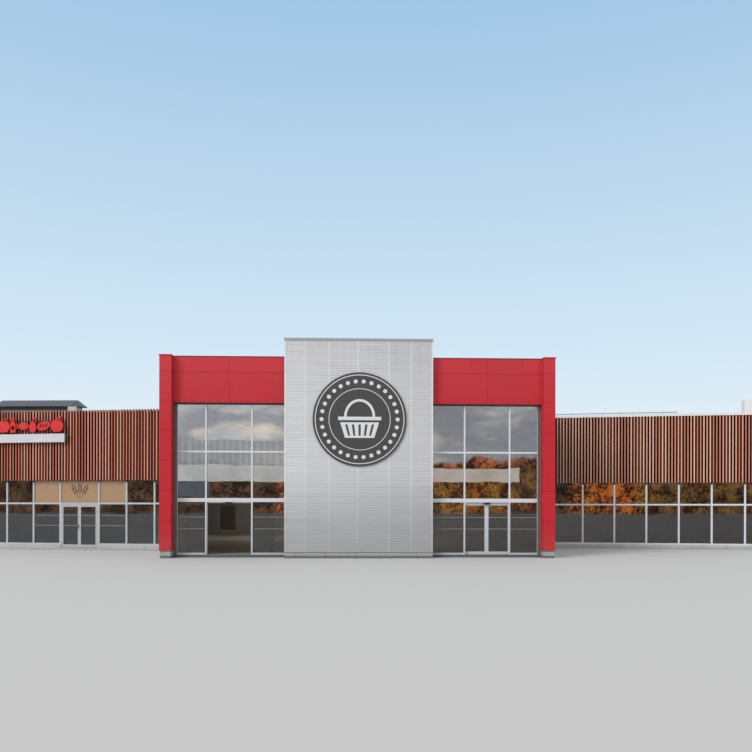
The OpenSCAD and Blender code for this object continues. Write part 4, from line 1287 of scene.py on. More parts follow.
@dataclass
class Assembly:
    """A sub-assembly: it builds its pieces and hangs each on a body."""

    entrance: Entrance
    finishes: Finishes

    def add(self, name: str, shape: bpy.types.Mesh | bmesh.types.BMesh, finish: Finish, slot: str,
            place: Matrix | None = None, body: str = BUILDING, smooth: bool = False) -> bpy.types.Object:
        """Makes a shape a piece of the building.

        Args:
            name: The piece's name.
            shape: A mesh, or a closed shape, which is freed.
            finish: Its finish.
            slot: The record's material slot that it goes with; it is not used.
            place: What turns its own frame into the row's.
            body: The body that carries it.
            smooth: True where its faces are shaded as one round surface.

        Returns:
            The piece.
        """
        mesh = Forms.closed(shape, name) if isinstance(shape, bmesh.types.BMesh) else shape
        if place is not None:
            mesh.transform(place)
        finish.cover(mesh)
        for face in mesh.polygons:
            face.use_smooth = smooth
        piece = placed(name, mesh)
        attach(piece, body)
        log.info("%s: %d faces on %s", name, len(mesh.polygons), body)
        return piece


@dataclass
class Glaziery(Assembly):
    """Glazing beads and gaskets round every pane, and marking films on doors and the panes beside them."""

    bead_w: float = 0.008
    bead_d: float = 0.017
    sliding_bead_d: float = 0.007
    hinged_bead_d: float = 0.011
    bead_chamfer: float = 0.003
    bead_lift: float = 0.001
    gasket_w: float = 0.005
    gasket_d: float = 0.005
    gasket_lip: float = 0.002
    film: float = 0.0008
    dash: Pair = (0.09, 0.022)
    dash_gap: float = 0.03
    marking_heights: Pair = (1.1, 1.6)
    low_pane: float = 1.0
    beside_door: Pair = (0.2, 0.3)

    def build(self) -> None:
        """Builds the beads, gaskets and films of every pane."""
        turned, level, own = self.entrance.to_row, Matrix.Identity(4), self.entrance.from_row
        fixed, windows = solids_of("entrance_glass", own), solids_of("window_glass")
        pale, wing, door = self.finishes.frame, self.finishes.wing_frame, self.finishes.door_frame
        self._edge("entrance", fixed, turned, self.bead_d, BUILDING, pale)
        self._edge("window", windows + solids_of("shop_panels"), level, self.bead_d, BUILDING, wing)
        for side in ("left", "right"):
            for leaf in ("left", "right"):
                name = f"{side}_entrance_{leaf}"
                panes = solids_of(f"{name}_pane", own)
                self._edge(name, panes, turned, self.sliding_bead_d, f"{name}_leaf", pale)
                self._mark(name, panes, turned, f"{name}_leaf")
            name = f"shop_door_{side}"
            panes = solids_of(f"{name}_pane")
            self._edge(name, panes, level, self.hinged_bead_d, f"{name}_leaf", door)
            self._mark(name, panes, level, f"{name}_leaf")
        self._mark("entrance", [p for p in fixed if p[0].z < self.low_pane], turned, BUILDING)
        (low, high), (depth, reach) = box_of("shop_door_frame"), self.beside_door
        beside = [p for p in windows if p[0].z < self.low_pane and abs(p[0].y - low.y) < depth
                  and min(abs(p[0].x - high.x), abs(p[1].x - low.x)) < reach]
        self._mark("shop", beside, level, BUILDING)

    def _edge(self, name: str, panes: Sequence[Box], place: Matrix, depth: float, body: str,
              coating: Finish) -> None:
        """Adds beads and gaskets on both faces of some panes.

        Args:
            name: What the pieces' names start with.
            panes: The panes' corners in their own frame.
            place: What turns that frame into the row's.
            depth: How far the beads stand out from the glass.
            body: The body that carries the panes.
            coating: The beads' finish.
        """
        beads, gaskets = bmesh.new(), bmesh.new()
        edge, inner = self.bead_w, self.bead_w + self.gasket_w
        section = ((0.0, self.bead_lift), (0.0, depth), (edge - self.bead_chamfer, depth),
                   (edge, depth - self.bead_chamfer), (edge, self.bead_lift))
        rubber = ((edge, 0.0), (edge, self.gasket_d), (inner - self.gasket_lip, self.gasket_d),
                  (inner, self.gasket_d / 2), (inner, 0.0))
        for pane in panes:
            for side in (-1, 1):
                Forms.add_ring(beads, pane, side, section)
                Forms.add_ring(gaskets, pane, side, rubber)
        self.add(f"{name}_beads", beads, coating, "white_frame", place, body)
        self.add(f"{name}_gaskets", gaskets, self.finishes.rubber, "dark_fitting", place, body)

    def _mark(self, name: str, panes: Sequence[Box], place: Matrix, body: str) -> None:
        """Adds two rows of film dashes on the front of some panes.

        Args:
            name: What the piece's name starts with.
            panes: The panes' corners in their own frame.
            place: What turns that frame into the row's.
            body: The body that carries the panes.
        """
        tree, floor = RowTree(Shape.BAR), box_of("portal_floor")[1].z
        pitch = self.dash[0] + self.dash_gap
        rise = self.marking_heights[1] - self.marking_heights[0]
        joined = bmesh.new()
        for low, high in panes:
            clear = high.x - low.x - 2 * (self.bead_w + self.gasket_w)
            count = int((clear + self.dash_gap) / pitch)
            start = (low.x + high.x) / 2 - (count - 1) * pitch / 2
            joined.from_mesh(tree.mesh("dashes", self.finishes.marking, {
                "Start": (start, low.y - self.film / 2, floor + self.marking_heights[0]), "Count": count,
                "Step": (pitch, 0.0, 0.0), "Rows": 2, "Row Step": (0.0, 0.0, rise),
                "Size": (self.dash[0], self.film, self.dash[1])}))
        self.add(f"{name}_markings", joined, self.finishes.marking, "white_trim", place, body)


@dataclass
class TowerSign(Assembly):
    """The round sign on the tower: a dark disc, a rim, a ring of dots and a plain basket.

    Places on the disc are shares of its radius.
    """

    centre: Pair = (0.03, 5.85)
    radius: float = 1.975
    thickness: float = 0.03
    edge: float = 0.006
    stand_off: float = 0.03
    mark_t: float = 0.006
    rim: Pair = (0.955, 0.018)
    ring: Pair = (0.66, 0.014)
    basket: float = 0.46
    dots_at: float = 0.81
    dots: int = 30
    dot: float = 0.085
    studs_at: float = 0.6
    stud: float = 0.05
    stud_sink: float = 0.016

    def build(self) -> None:
        """Builds the disc, its marks and its studs."""
        face = box_of("tower_trims", self.entrance.from_row)[0].y - self.stand_off
        front = face - self.thickness
        (x, z), place, pale = self.centre, self.entrance.to_row, self.finishes.disc_mark
        disc = Forms.flat("disc", [self._circle(1.0, 128)], self.thickness, (x, face, z), self.edge)
        self.add("tower_disc", disc, self.finishes.disc, "dark_fitting", place)
        marks = bmesh.new()
        for name, loops in (("rim", self._band(*self.rim)), ("ring", self._band(*self.ring)),
                            ("basket", self._basket())):
            marks.from_mesh(Forms.flat(name, loops, self.mark_t, (x, front, z)))
        marks.from_mesh(RingTree().mesh("dots", pale, {
            "Centre": (x, front - self.mark_t / 2, z), "Radius": self.radius * self.dots_at,
            "Count": self.dots, "Dot": self.dot, "Thickness": self.mark_t}))
        self.add("tower_disc_marks", marks, pale, "white_trim", place)
        reach, spread = self.stand_off + self.stud_sink, self.radius * self.studs_at
        studs = RowTree(Shape.DOT).mesh("studs", self.finishes.steel, {
            "Start": (x - spread, face + reach / 2, z - spread), "Step": (2 * spread, 0.0, 0.0), "Count": 2,
            "Row Step": (0.0, 0.0, 2 * spread), "Rows": 2, "Size": (self.stud, self.stud, reach),
            "Turn": (math.pi / 2, 0.0, 0.0)})
        self.add("tower_disc_studs", studs, self.finishes.steel, "rail_steel", place)

    def _circle(self, share: float, steps: int) -> Loop:
        """A round outline, by its share of the disc's radius."""
        return Forms.oval(0.0, 0.0, self.radius * share, self.radius * share, steps=steps)

    def _band(self, share: float, width: float) -> list[Loop]:
        """The two outlines of a thin ring."""
        return [self._circle(share, 96), self._circle(share - width, 96)]

    def _basket(self) -> list[Loop]:
        """Outlines of a plain shopping basket: handle, rim, and a body with slots."""
        size = self.radius * self.basket
        arch = [(wide * math.cos(a), 0.12 + high * math.sin(a)) for wide, high in ((0.72, 0.82), (-0.6, 0.7))
                for a in (math.pi * i / 24 for i in range(25))]
        rim = [(-1.0, -0.04), (1.0, -0.04), (1.0, 0.12), (-1.0, 0.12)]
        body = [(-0.9, -0.14), (-0.68, -0.86), (0.68, -0.86), (0.9, -0.14)]
        slots = []
        for top in (-0.62 + 0.31 * i for i in range(5)):
            foot = top * 0.78
            slots.append([(top - 0.055, -0.24), (foot - 0.05, -0.76), (foot + 0.05, -0.76),
                          (top + 0.055, -0.24)])
        return [[(x * size, y * size) for x, y in loop] for loop in (arch, rim, body, *slots)]


class Motif(Enum):
    """Plain pictures of food for the wing's sign."""

    APPLE = "apple"
    LOAF = "loaf"
    FISH = "fish"
    CHEESE = "cheese"
    BOTTLE = "bottle"
    CARROT = "carrot"
    PEAR = "pear"


@dataclass
class WingSign(Assembly):
    """The left wing's sign: red pictures of food over a bare white bar, on rails before the slats."""

    bar_right: float = -15.3
    bar_left: float = -20.1
    bar_low: float = 5.36
    bar_high: float = 5.78
    bar_t: float = 0.09
    bar_edge: float = 0.006
    end_w: float = 0.09
    end_set_in: float = 0.01
    end_edge: float = 0.004
    stand: float = 0.12
    picture_low: float = 5.84
    picture_h: float = 0.8
    picture_t: float = 0.12
    picture_edge: float = 0.002
    face_t: float = 0.008
    margin: float = 0.05
    rail: Pair = (0.04, 0.04)
    rail_edge: float = 0.003
    rail_margin: float = 0.1
    rail_up: float = 0.2
    top_rail_down: float = 0.22
    arms: int = 5
    arm: Pair = (0.04, 0.03)
    arm_margin: float = 0.2
    order: tuple[Motif, ...] = (Motif.CHEESE, Motif.CARROT, Motif.APPLE, Motif.BOTTLE, Motif.FISH,
                                Motif.PEAR, Motif.LOAF, Motif.APPLE)

    def build(self) -> None:
        """Builds the bar, its end, the rails and the pictures."""
        slat_face = box_of("left_slat_screen")[0].y
        back = slat_face - self.stand
        front, inset, looks = back - self.bar_t, self.end_set_in, self.finishes
        bar, end = bmesh.new(), bmesh.new()
        Forms.add_block(bar, (self.bar_left, front, self.bar_low), (self.bar_right, back, self.bar_high),
                        self.bar_edge)
        self.add("wing_sign_bar", bar, looks.sign_bar, "white_trim")
        Forms.add_block(end, (self.bar_right, front + inset, self.bar_low + inset),
                        (self.bar_right + self.end_w, back, self.bar_high - inset), self.end_edge)
        self.add("wing_sign_end", end, looks.fitting, "dark_fitting")
        self._rails(slat_face, back)
        self._pictures(back)

    def _pictures(self, back: float) -> None:
        """Adds the pictures, spread evenly over the bar: deep sides, and a thin face on each.

        Each picture is drawn one unit high, from its foot up.

        Args:
            back: Depth of the sign's back.
        """
        faces, sides = bmesh.new(), bmesh.new()
        drawings = {
            Motif.APPLE: self._apple, Motif.LOAF: self._loaf, Motif.FISH: self._fish,
            Motif.CHEESE: self._cheese, Motif.BOTTLE: self._bottle, Motif.CARROT: self._carrot,
            Motif.PEAR: self._pear,
        }
        drawn = [[[(px * self.picture_h, py * self.picture_h) for px, py in loop]
                  for loop in drawings[motif]()] for motif in self.order]
        spans = [(min(p[0] for loop in loops for p in loop), max(p[0] for loop in loops for p in loop))
                 for loops in drawn]
        spare = self.bar_right - self.bar_left - 2 * self.margin - sum(high - low for low, high in spans)
        x = self.bar_left + self.margin
        for motif, loops, (low, high) in zip(self.order, drawn, spans):
            x -= low
            for made, thickness, depth in ((sides, self.picture_t, back),
                                           (faces, self.face_t, back - self.picture_t)):
                made.from_mesh(Forms.flat(motif.value, loops, thickness, (x, depth, self.picture_low),
                                          self.picture_edge))
            x += high + spare / (len(self.order) - 1)
        self.add("wing_sign_sides", sides, self.finishes.sign_edge, "red_cladding")
        self.add("wing_sign_faces", faces, self.finishes.sign_red, "red_cladding")

    def _rails(self, slat_face: float, back: float) -> None:
        """Adds level rails behind the sign and short arms to the slats.

        Args:
            slat_face: Depth of the slats' front faces.
            back: Depth of the sign's back.
        """
        rails = bmesh.new()
        deep, half = self.rail[0], self.rail[1] / 2
        left, right = self.bar_left + self.rail_margin, self.bar_right - self.rail_margin
        for z in (self.bar_low + self.rail_up, self.picture_low + self.rail_up,
                  self.picture_low + self.picture_h - self.top_rail_down):
            Forms.add_block(rails, (left, back, z - half), (right, back + deep, z + half), self.rail_edge)
        room = right - left - 2 * self.arm_margin
        rails.from_mesh(RowTree(Shape.BAR).mesh("arms", self.finishes.fitting, {
            "Start": (left + self.arm_margin, (back + deep + slat_face) / 2, self.bar_low + self.rail_up),
            "Step": (room / (self.arms - 1), 0.0, 0.0), "Count": self.arms, "Rows": 2,
            "Row Step": (0.0, 0.0, self.picture_low - self.bar_low),
            "Size": (self.arm[0], slat_face - back - deep, self.arm[1])}))
        self.add("wing_sign_rails", rails, self.finishes.fitting, "dark_fitting")

    @staticmethod
    def _mirrored(half: Loop) -> Loop:
        """The points of a right half's mirror image, in the way round that closes it."""
        return [(-x, y) for x, y in reversed(half)]

    @staticmethod
    def _apple() -> list[Loop]:
        """An apple with a dimple, a stalk and a leaf."""
        body = []
        for i in range(48):
            a = -math.pi + 2 * math.pi * i / 48
            dimple = 0.11 * math.exp(-((a / 0.34) ** 2))
            foot = 0.05 * math.exp(-(((abs(a) - math.pi) / 0.3) ** 2))
            reach = 0.41 - dimple - foot
            body.append((1.04 * reach * math.sin(a), 0.41 + reach * math.cos(a)))
        stalk = [(-0.03, 0.74), (0.03, 0.74), (0.07, 0.92), (0.01, 0.93)]
        return [body, stalk, Forms.oval(0.2, 0.88, 0.13, 0.055, 0.5)]

    @staticmethod
    def _loaf() -> list[Loop]:
        """A long loaf with three cuts across it."""
        cuts = [Forms.oval(-0.2 + 0.2 * i, 0.43, 0.035, 0.15, -0.5, 16) for i in range(3)]
        return [Forms.oval(0.0, 0.42, 0.46, 0.27, 0.25, 40), *cuts]

    @staticmethod
    def _fish() -> list[Loop]:
        """A fish that swims to the right, with an eye."""
        body = Forms.oval(0.06, 0.42, 0.36, 0.23, steps=40)
        eye = Forms.oval(0.25, 0.47, 0.035, 0.035, steps=14)
        tail = [(-0.22, 0.42), (-0.45, 0.64), (-0.38, 0.42), (-0.45, 0.2)]
        return [body, tail, eye]

    @staticmethod
    def _cheese() -> list[Loop]:
        """A wedge of cheese with three holes."""
        wedge = [(-0.45, 0.12), (0.45, 0.12), (0.45, 0.46), (0.1, 0.8), (-0.45, 0.46)]
        return [wedge, *(Forms.oval(x, y, r, r) for x, y, r in ((-0.2, 0.29, 0.07), (0.22, 0.31, 0.085),
                                                                (0.08, 0.6, 0.06)))]

    def _bottle(self) -> list[Loop]:
        """A bottle with a label's gap."""
        half = [(0.17, 0.02), (0.19, 0.06), (0.19, 0.52), (0.15, 0.62), (0.07, 0.72), (0.065, 0.88),
                (0.085, 0.89), (0.085, 0.97)]
        label = [(-0.11, 0.2), (0.11, 0.2), (0.11, 0.42), (-0.11, 0.42)]
        return [[(0.0, 0.02), *half, *self._mirrored(half)], label]

    @staticmethod
    def _pear() -> list[Loop]:
        """A pear with a stalk and a leaf."""
        body = []
        for i in range(48):
            a = 2 * math.pi * i / 48
            neck = 0.5 * (1 + math.cos(a))
            body.append(((0.3 - 0.13 * neck) * math.sin(a), 0.37 + 0.36 * math.cos(a)))
        stalk = [(-0.025, 0.72), (0.025, 0.72), (0.05, 0.9), (0.0, 0.91)]
        return [body, stalk, Forms.oval(0.16, 0.86, 0.12, 0.05, 0.4)]

    def _carrot(self) -> list[Loop]:
        """A carrot that points down, with three leaves."""
        side = [(0.0, 0.02), (0.09, 0.24), (0.17, 0.5), (0.16, 0.6), (0.08, 0.66)]
        leaves = [Forms.oval(0.13 * s, 0.8, 0.15, 0.05, math.pi / 2 - 0.55 * s, 18) for s in (-1, 0, 1)]
        return [[*side, *self._mirrored(side[1:])], *leaves]


@dataclass
class PanelMotif(Assembly):
    """Three plain ears of wheat, fanned, on the middle beige panel."""

    height: float = 0.88
    film: float = 0.0012
    fan: float = 0.5
    grain: Pair = (0.07, 0.035)
    grain_lean: float = 0.55

    def build(self) -> None:
        """Builds the three ears from one foot."""
        low, high = box_of("shop_door_frame")
        x = (low.x + high.x) / 2
        panel = next(p for p in solids_of("shop_panels") if p[0].x < x < p[1].x)
        foot = (x, panel[0].y, (panel[0].z + panel[1].z) / 2 - self.height / 2)
        made = bmesh.new()
        for lean in (-1, 0, 1):
            turn = Matrix.Rotation(-lean * self.fan, 2)
            loops = [[tuple(self.height * (turn @ Vector(point))) for point in loop] for loop in self._ear()]
            made.from_mesh(Forms.flat("wheat", loops, self.film, foot))
        self.add("panel_wheat_mark", made, self.finishes.brown_mark, "dark_fitting")

    def _ear(self) -> list[Loop]:
        """One upright ear: a stalk and paired grains, one unit high."""
        loops: list[Loop] = [[(-0.014, 0.12), (0.014, 0.12), (0.014, 0.5), (-0.014, 0.5)]]
        for i in range(4):
            for side in (-1, 1):
                loops.append(Forms.oval(side * 0.075, 0.52 + 0.105 * i, *self.grain,
                                        math.pi / 2 - side * self.grain_lean, 20))
        loops.append(Forms.oval(0.0, 0.95, *self.grain, math.pi / 2, 20))
        return loops


@dataclass
class RaisedRoof(Assembly):
    """Standing ribs on the metal eave and a ribbed strip of wall below it."""

    rib_pitch: float = 0.145
    rib_w: float = 0.06
    rib_h: float = 0.03
    rib_sink: float = 0.001
    rib_short: float = 0.04
    hip_margin: float = 0.03
    strip_top: float = 7.19
    strip_t: float = 0.012
    strip_from_corner: float = 0.25
    strip_rib: Pair = (0.07, 0.02)

    def build(self) -> None:
        """Builds the ribs on the front and right slopes, and the strip on the front wall."""
        points = [v.co.copy() for v in frame["nodes"]["metal_eave"].data.vertices]
        low, high = min(p.z for p in points), max(p.z for p in points)
        levels = ([p for p in points if p.z < low + SAME_LEVEL],
                  [p for p in points if p.z > high - SAME_LEVEL])
        left = [min(level, key=lambda p: p.x + p.y) for level in levels]
        right = [max(level, key=lambda p: p.x - p.y) for level in levels]
        rear = [max(level, key=lambda p: p.x + p.y) for level in levels]
        along = (right[1] - left[1]).normalized()
        turn = math.atan2(along.y, along.x)
        self._slope("front_eave", turn, left, right)
        self._slope("side_eave", turn + math.pi / 2, right, rear)
        self._strip(turn)

    def _slope(self, name: str, turn: float, first: Sequence[Vector], last: Sequence[Vector]) -> None:
        """Adds ribs up one sloped side, cut short along its hips.

        Args:
            name: What the piece's name starts with.
            turn: The angle of the slope's own frame, in which its foot runs along x.
            first: Its foot and its head at the left end.
            last: Its foot and its head at the right end.
        """
        own = Matrix.Rotation(-turn, 4, "Z")
        foot, head = (own @ point for point in first)
        rise, back = head.z - foot.z, head.y - foot.y
        tilt = math.atan2(rise, back)
        length = (own @ last[1]).x - head.x
        middle = (foot + head) / 2
        out = Vector((0.0, -math.sin(tilt), math.cos(tilt))) * (self.rib_h / 2 - self.rib_sink)
        mesh = RowTree(Shape.BAR).mesh(name, self.finishes.eave_rib, {
            "Start": (head.x + self.hip_margin, middle.y + out.y, middle.z + out.z),
            "Step": (self.rib_pitch, 0.0, 0.0), "Rows": 1,
            "Count": int((length - 2 * self.hip_margin) / self.rib_pitch) + 1, "Turn": (tilt, 0.0, 0.0),
            "Size": (self.rib_w, math.hypot(rise, back) - self.rib_short, self.rib_h)})
        self.add(f"{name}_ribs", mesh, self.finishes.eave_rib, "eave_metal", Matrix.Rotation(turn, 4, "Z"))

    def _strip(self, turn: float) -> None:
        """Adds the ribbed strip along the front wall, from the roof up.

        Args:
            turn: The angle of the raised roof's own frame.
        """
        own = Matrix.Rotation(-turn, 4, "Z")
        low, corner = box_of("raised_front_walls", own)[0], box_of("raised_front_walls")[0]
        start = (own @ Vector((corner.x, corner.y, 0.0))).x + self.strip_from_corner
        end = box_of("raised_corner_pier", own)[0].x
        width, depth = self.strip_rib
        made = bmesh.new()
        Forms.add_block(made, (start, low.y - self.strip_t, low.z), (end, low.y, self.strip_top))
        made.from_mesh(RowTree(Shape.BAR).mesh("strip_ribs", self.finishes.strip_wall, {
            "Start": (start + self.rib_pitch / 2, low.y - (self.strip_t + depth / 2),
                      (low.z + self.strip_top) / 2),
            "Step": (self.rib_pitch, 0.0, 0.0), "Count": int((end - start) / self.rib_pitch), "Rows": 1,
            "Size": (width, depth, self.strip_top - low.z)}))
        self.add("raised_wall_strip", made, self.finishes.strip_wall, "dark_wall",
                 Matrix.Rotation(turn, 4, "Z"))


@dataclass
class Trimming(Assembly):
    """Screws on the tower's strips, the fascias' edges, covers on the copings' joints, and floor guides."""

    screw: Triple = (0.018, 0.018, 0.009)
    screw_pitch: float = 0.608
    screw_margin: float = 0.15
    flash_inset: float = 0.03
    flash_drop: float = 0.03
    flash_rise: float = 0.006
    flash_proud: float = 0.012
    flash_depth: float = 0.16
    flash_edge: float = 0.002
    closer_inset: float = 0.005
    closer_back: float = 0.02
    closer_gap: float = 0.001
    closer_t: float = 0.012
    cover_pitch: float = 3.0
    cover_w: float = 0.12
    cover_t: float = 0.003
    cover_sink: float = 0.003
    cover_start: float = 1.6
    cover_room: float = 2.0
    long_coping: float = 8.0
    from_box: float = 5.0
    guide_half: float = 0.035
    guide_t: float = 0.0025
    guide_inset: float = 0.05

    def build(self) -> None:
        """Builds each kind of trim."""
        self._screws()
        self._fascia_edges()
        self._coping_covers()
        self._guides()

    def _screws(self) -> None:
        """Adds a column of domed screws down each strip of the tower."""
        made, tree = bmesh.new(), RowTree(Shape.SCREW)
        for low, high in solids_of("tower_trims", self.entrance.from_row):
            clear = high.z - low.z - 2 * self.screw_margin
            made.from_mesh(tree.mesh("screws", self.finishes.strip, {
                "Start": ((low.x + high.x) / 2, low.y, low.z + self.screw_margin),
                "Step": (0.0, 0.0, self.screw_pitch), "Count": int(clear / self.screw_pitch) + 1, "Rows": 1,
                "Turn": (math.pi / 2, 0.0, 0.0), "Size": self.screw}))
        self.add("tower_screws", made, self.finishes.strip, "white_trim", self.entrance.to_row, smooth=True)

    def _fascia_edges(self) -> None:
        """Adds a folded flashing on each fascia's top and a closer under it, whose dark finish is painted shade
        under the fascia.
        """
        flash, closer = bmesh.new(), bmesh.new()
        glass = box_of("entrance_mullions", self.entrance.from_row)[0].y - self.closer_gap
        for low, high in solids_of("red_fascias", self.entrance.from_row):
            inset = self.flash_inset
            Forms.add_block(flash, (low.x + inset, low.y - self.flash_proud, high.z - self.flash_drop),
                            (high.x - inset, low.y + self.flash_depth, high.z + self.flash_rise),
                            self.flash_edge)
            # the closer's dark finish stands for painted shade under the fascia
            inset = self.closer_inset
            Forms.add_block(closer, (low.x + inset, low.y + self.closer_back, low.z - self.closer_t),
                            (high.x - inset, glass, low.z))
        self.add("fascia_flashing", flash, self.finishes.red_edge, "red_cladding", self.entrance.to_row)
        self.add("fascia_shadow_closer", closer, self.finishes.fitting, "red_cladding", self.entrance.to_row)

    def _coping_covers(self) -> None:
        """Adds thin straps over the joints of the long copings, and down the front of the right wing's."""
        made, sink = bmesh.new(), Vector((self.cover_sink,) * 3)
        near, far = CAD_BOX[0].y + self.from_box, CAD_BOX[1].y - self.from_box
        for low, high in solids_of("wall_copings"):
            along = 0 if high.x - low.x > high.y - low.y else 1
            length = high[along] - low[along]
            if length < self.long_coping:
                continue
            start, end = low + sink, high - sink
            end.z = high.z + self.cover_t
            if along == 0 and low.y > near and high.y < far:
                start.y = low.y - self.cover_t
            for i in range(int((length - self.cover_room) / self.cover_pitch) + 1):
                start[along] = low[along] + self.cover_start + i * self.cover_pitch
                end[along] = start[along] + self.cover_w
                Forms.add_block(made, start, end)
        self.add("coping_covers", made, self.finishes.trim, "white_trim")

    def _guides(self) -> None:
        """Adds a thin steel guide in the floor under each pair of sliding leaves."""
        made, own, floor = bmesh.new(), self.entrance.from_row, box_of("portal_floor")[1].z
        for (low, high), side in zip(solids_of("door_tracks", own), ("left", "right")):
            leaf = box_of(f"{side}_entrance_left_leaf", own)
            middle = (leaf[0].y + leaf[1].y) / 2
            Forms.add_block(made, (low.x + self.guide_inset, middle - self.guide_half, floor),
                            (high.x - self.guide_inset, middle + self.guide_half, floor + self.guide_t))
        self.add("door_floor_guides", made, self.finishes.steel, "rail_steel", self.entrance.to_row)


@dataclass
class Sensors(Assembly):
    """Rounded sensor housings with a dark lens, in place of the plain boxes over the doors.

    The lens's gaps to the sides, the foot and the head are shares of the box.
    """

    edge: float = 0.018
    side_gap: float = 0.3
    foot_gap: float = 0.2
    head_gap: float = 0.45
    lens_proud: float = 0.0015
    lens_depth: float = 0.01
    lens_edge: float = 0.0007

    def build(self) -> None:
        """Builds both housings and lenses."""
        cases, lenses = bmesh.new(), bmesh.new()
        for low, high in solids_of("door_sensors", self.entrance.from_row):
            Forms.add_block(cases, low, high, self.edge)
            side, height = (high.x - low.x) * self.side_gap, high.z - low.z
            Forms.add_block(lenses, (low.x + side, low.y - self.lens_proud, low.z + height * self.foot_gap),
                            (high.x - side, low.y + self.lens_depth, high.z - height * self.head_gap),
                            self.lens_edge)
        place = self.entrance.to_row
        piece = self.add("door_sensor_cases", cases, self.finishes.fitting, "dark_fitting", place)
        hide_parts("door_sensors")
        self.add("door_sensor_lenses", lenses, self.finishes.lens, "dark_fitting", place)


@dataclass
class RoofSeams(Assembly):
    """Lapped seams across the flat roofs, each within its own parapets."""

    seam_w: float = 0.08
    seam_h: float = 0.005
    sink: float = 0.001
    pitch: float = 1.95
    first: float = 0.4
    room: float = 0.5
    end_gap: float = 0.01
    behind_eave: float = 0.3

    def build(self) -> None:
        """Builds level rows of seams on each roof."""
        own, turned, level = self.entrance.from_row, self.entrance.to_row, Matrix()
        self._rows("hall_roof_seams", *box_of("hall_roof"), level)
        low, high = box_of("left_wing_roof")
        low.y = box_of("metal_eave")[1].y + self.behind_eave
        high.x = box_of("portal_upper_wall")[0].x
        self._rows("left_wing_roof_seams", low, high, level)
        low, high = solids_of("entrance_roofs", own)[0]
        low.y = box_of("tower_rear_wall", own)[1].y
        rear = box_of("portal_rear_wall")
        high.y = (own @ Vector((rear[1].x, rear[0].y, 0.0))).y
        self._rows("entrance_roof_seams", low, high, turned)

    def _rows(self, name: str, low: Vector, high: Vector, place: Matrix) -> None:
        """Adds the seams of one roof, side to side.

        Args:
            name: The piece's name.
            low: The roof's near left corner in its own frame.
            high: Its far right corner, at its top.
            place: What turns its frame into the row's.
        """
        mesh = RowTree(Shape.BAR).mesh("seams", self.finishes.seam, {
            "Start": ((low.x + high.x) / 2, low.y + self.first, high.z + self.seam_h / 2 - self.sink),
            "Step": (0.0, self.pitch, 0.0), "Count": int((high.y - low.y - self.room) / self.pitch) + 1,
            "Rows": 1, "Size": (high.x - low.x - 2 * self.end_gap, self.seam_w, self.seam_h)})
        self.add(name, mesh, self.finishes.seam, "roof_sheet", place)


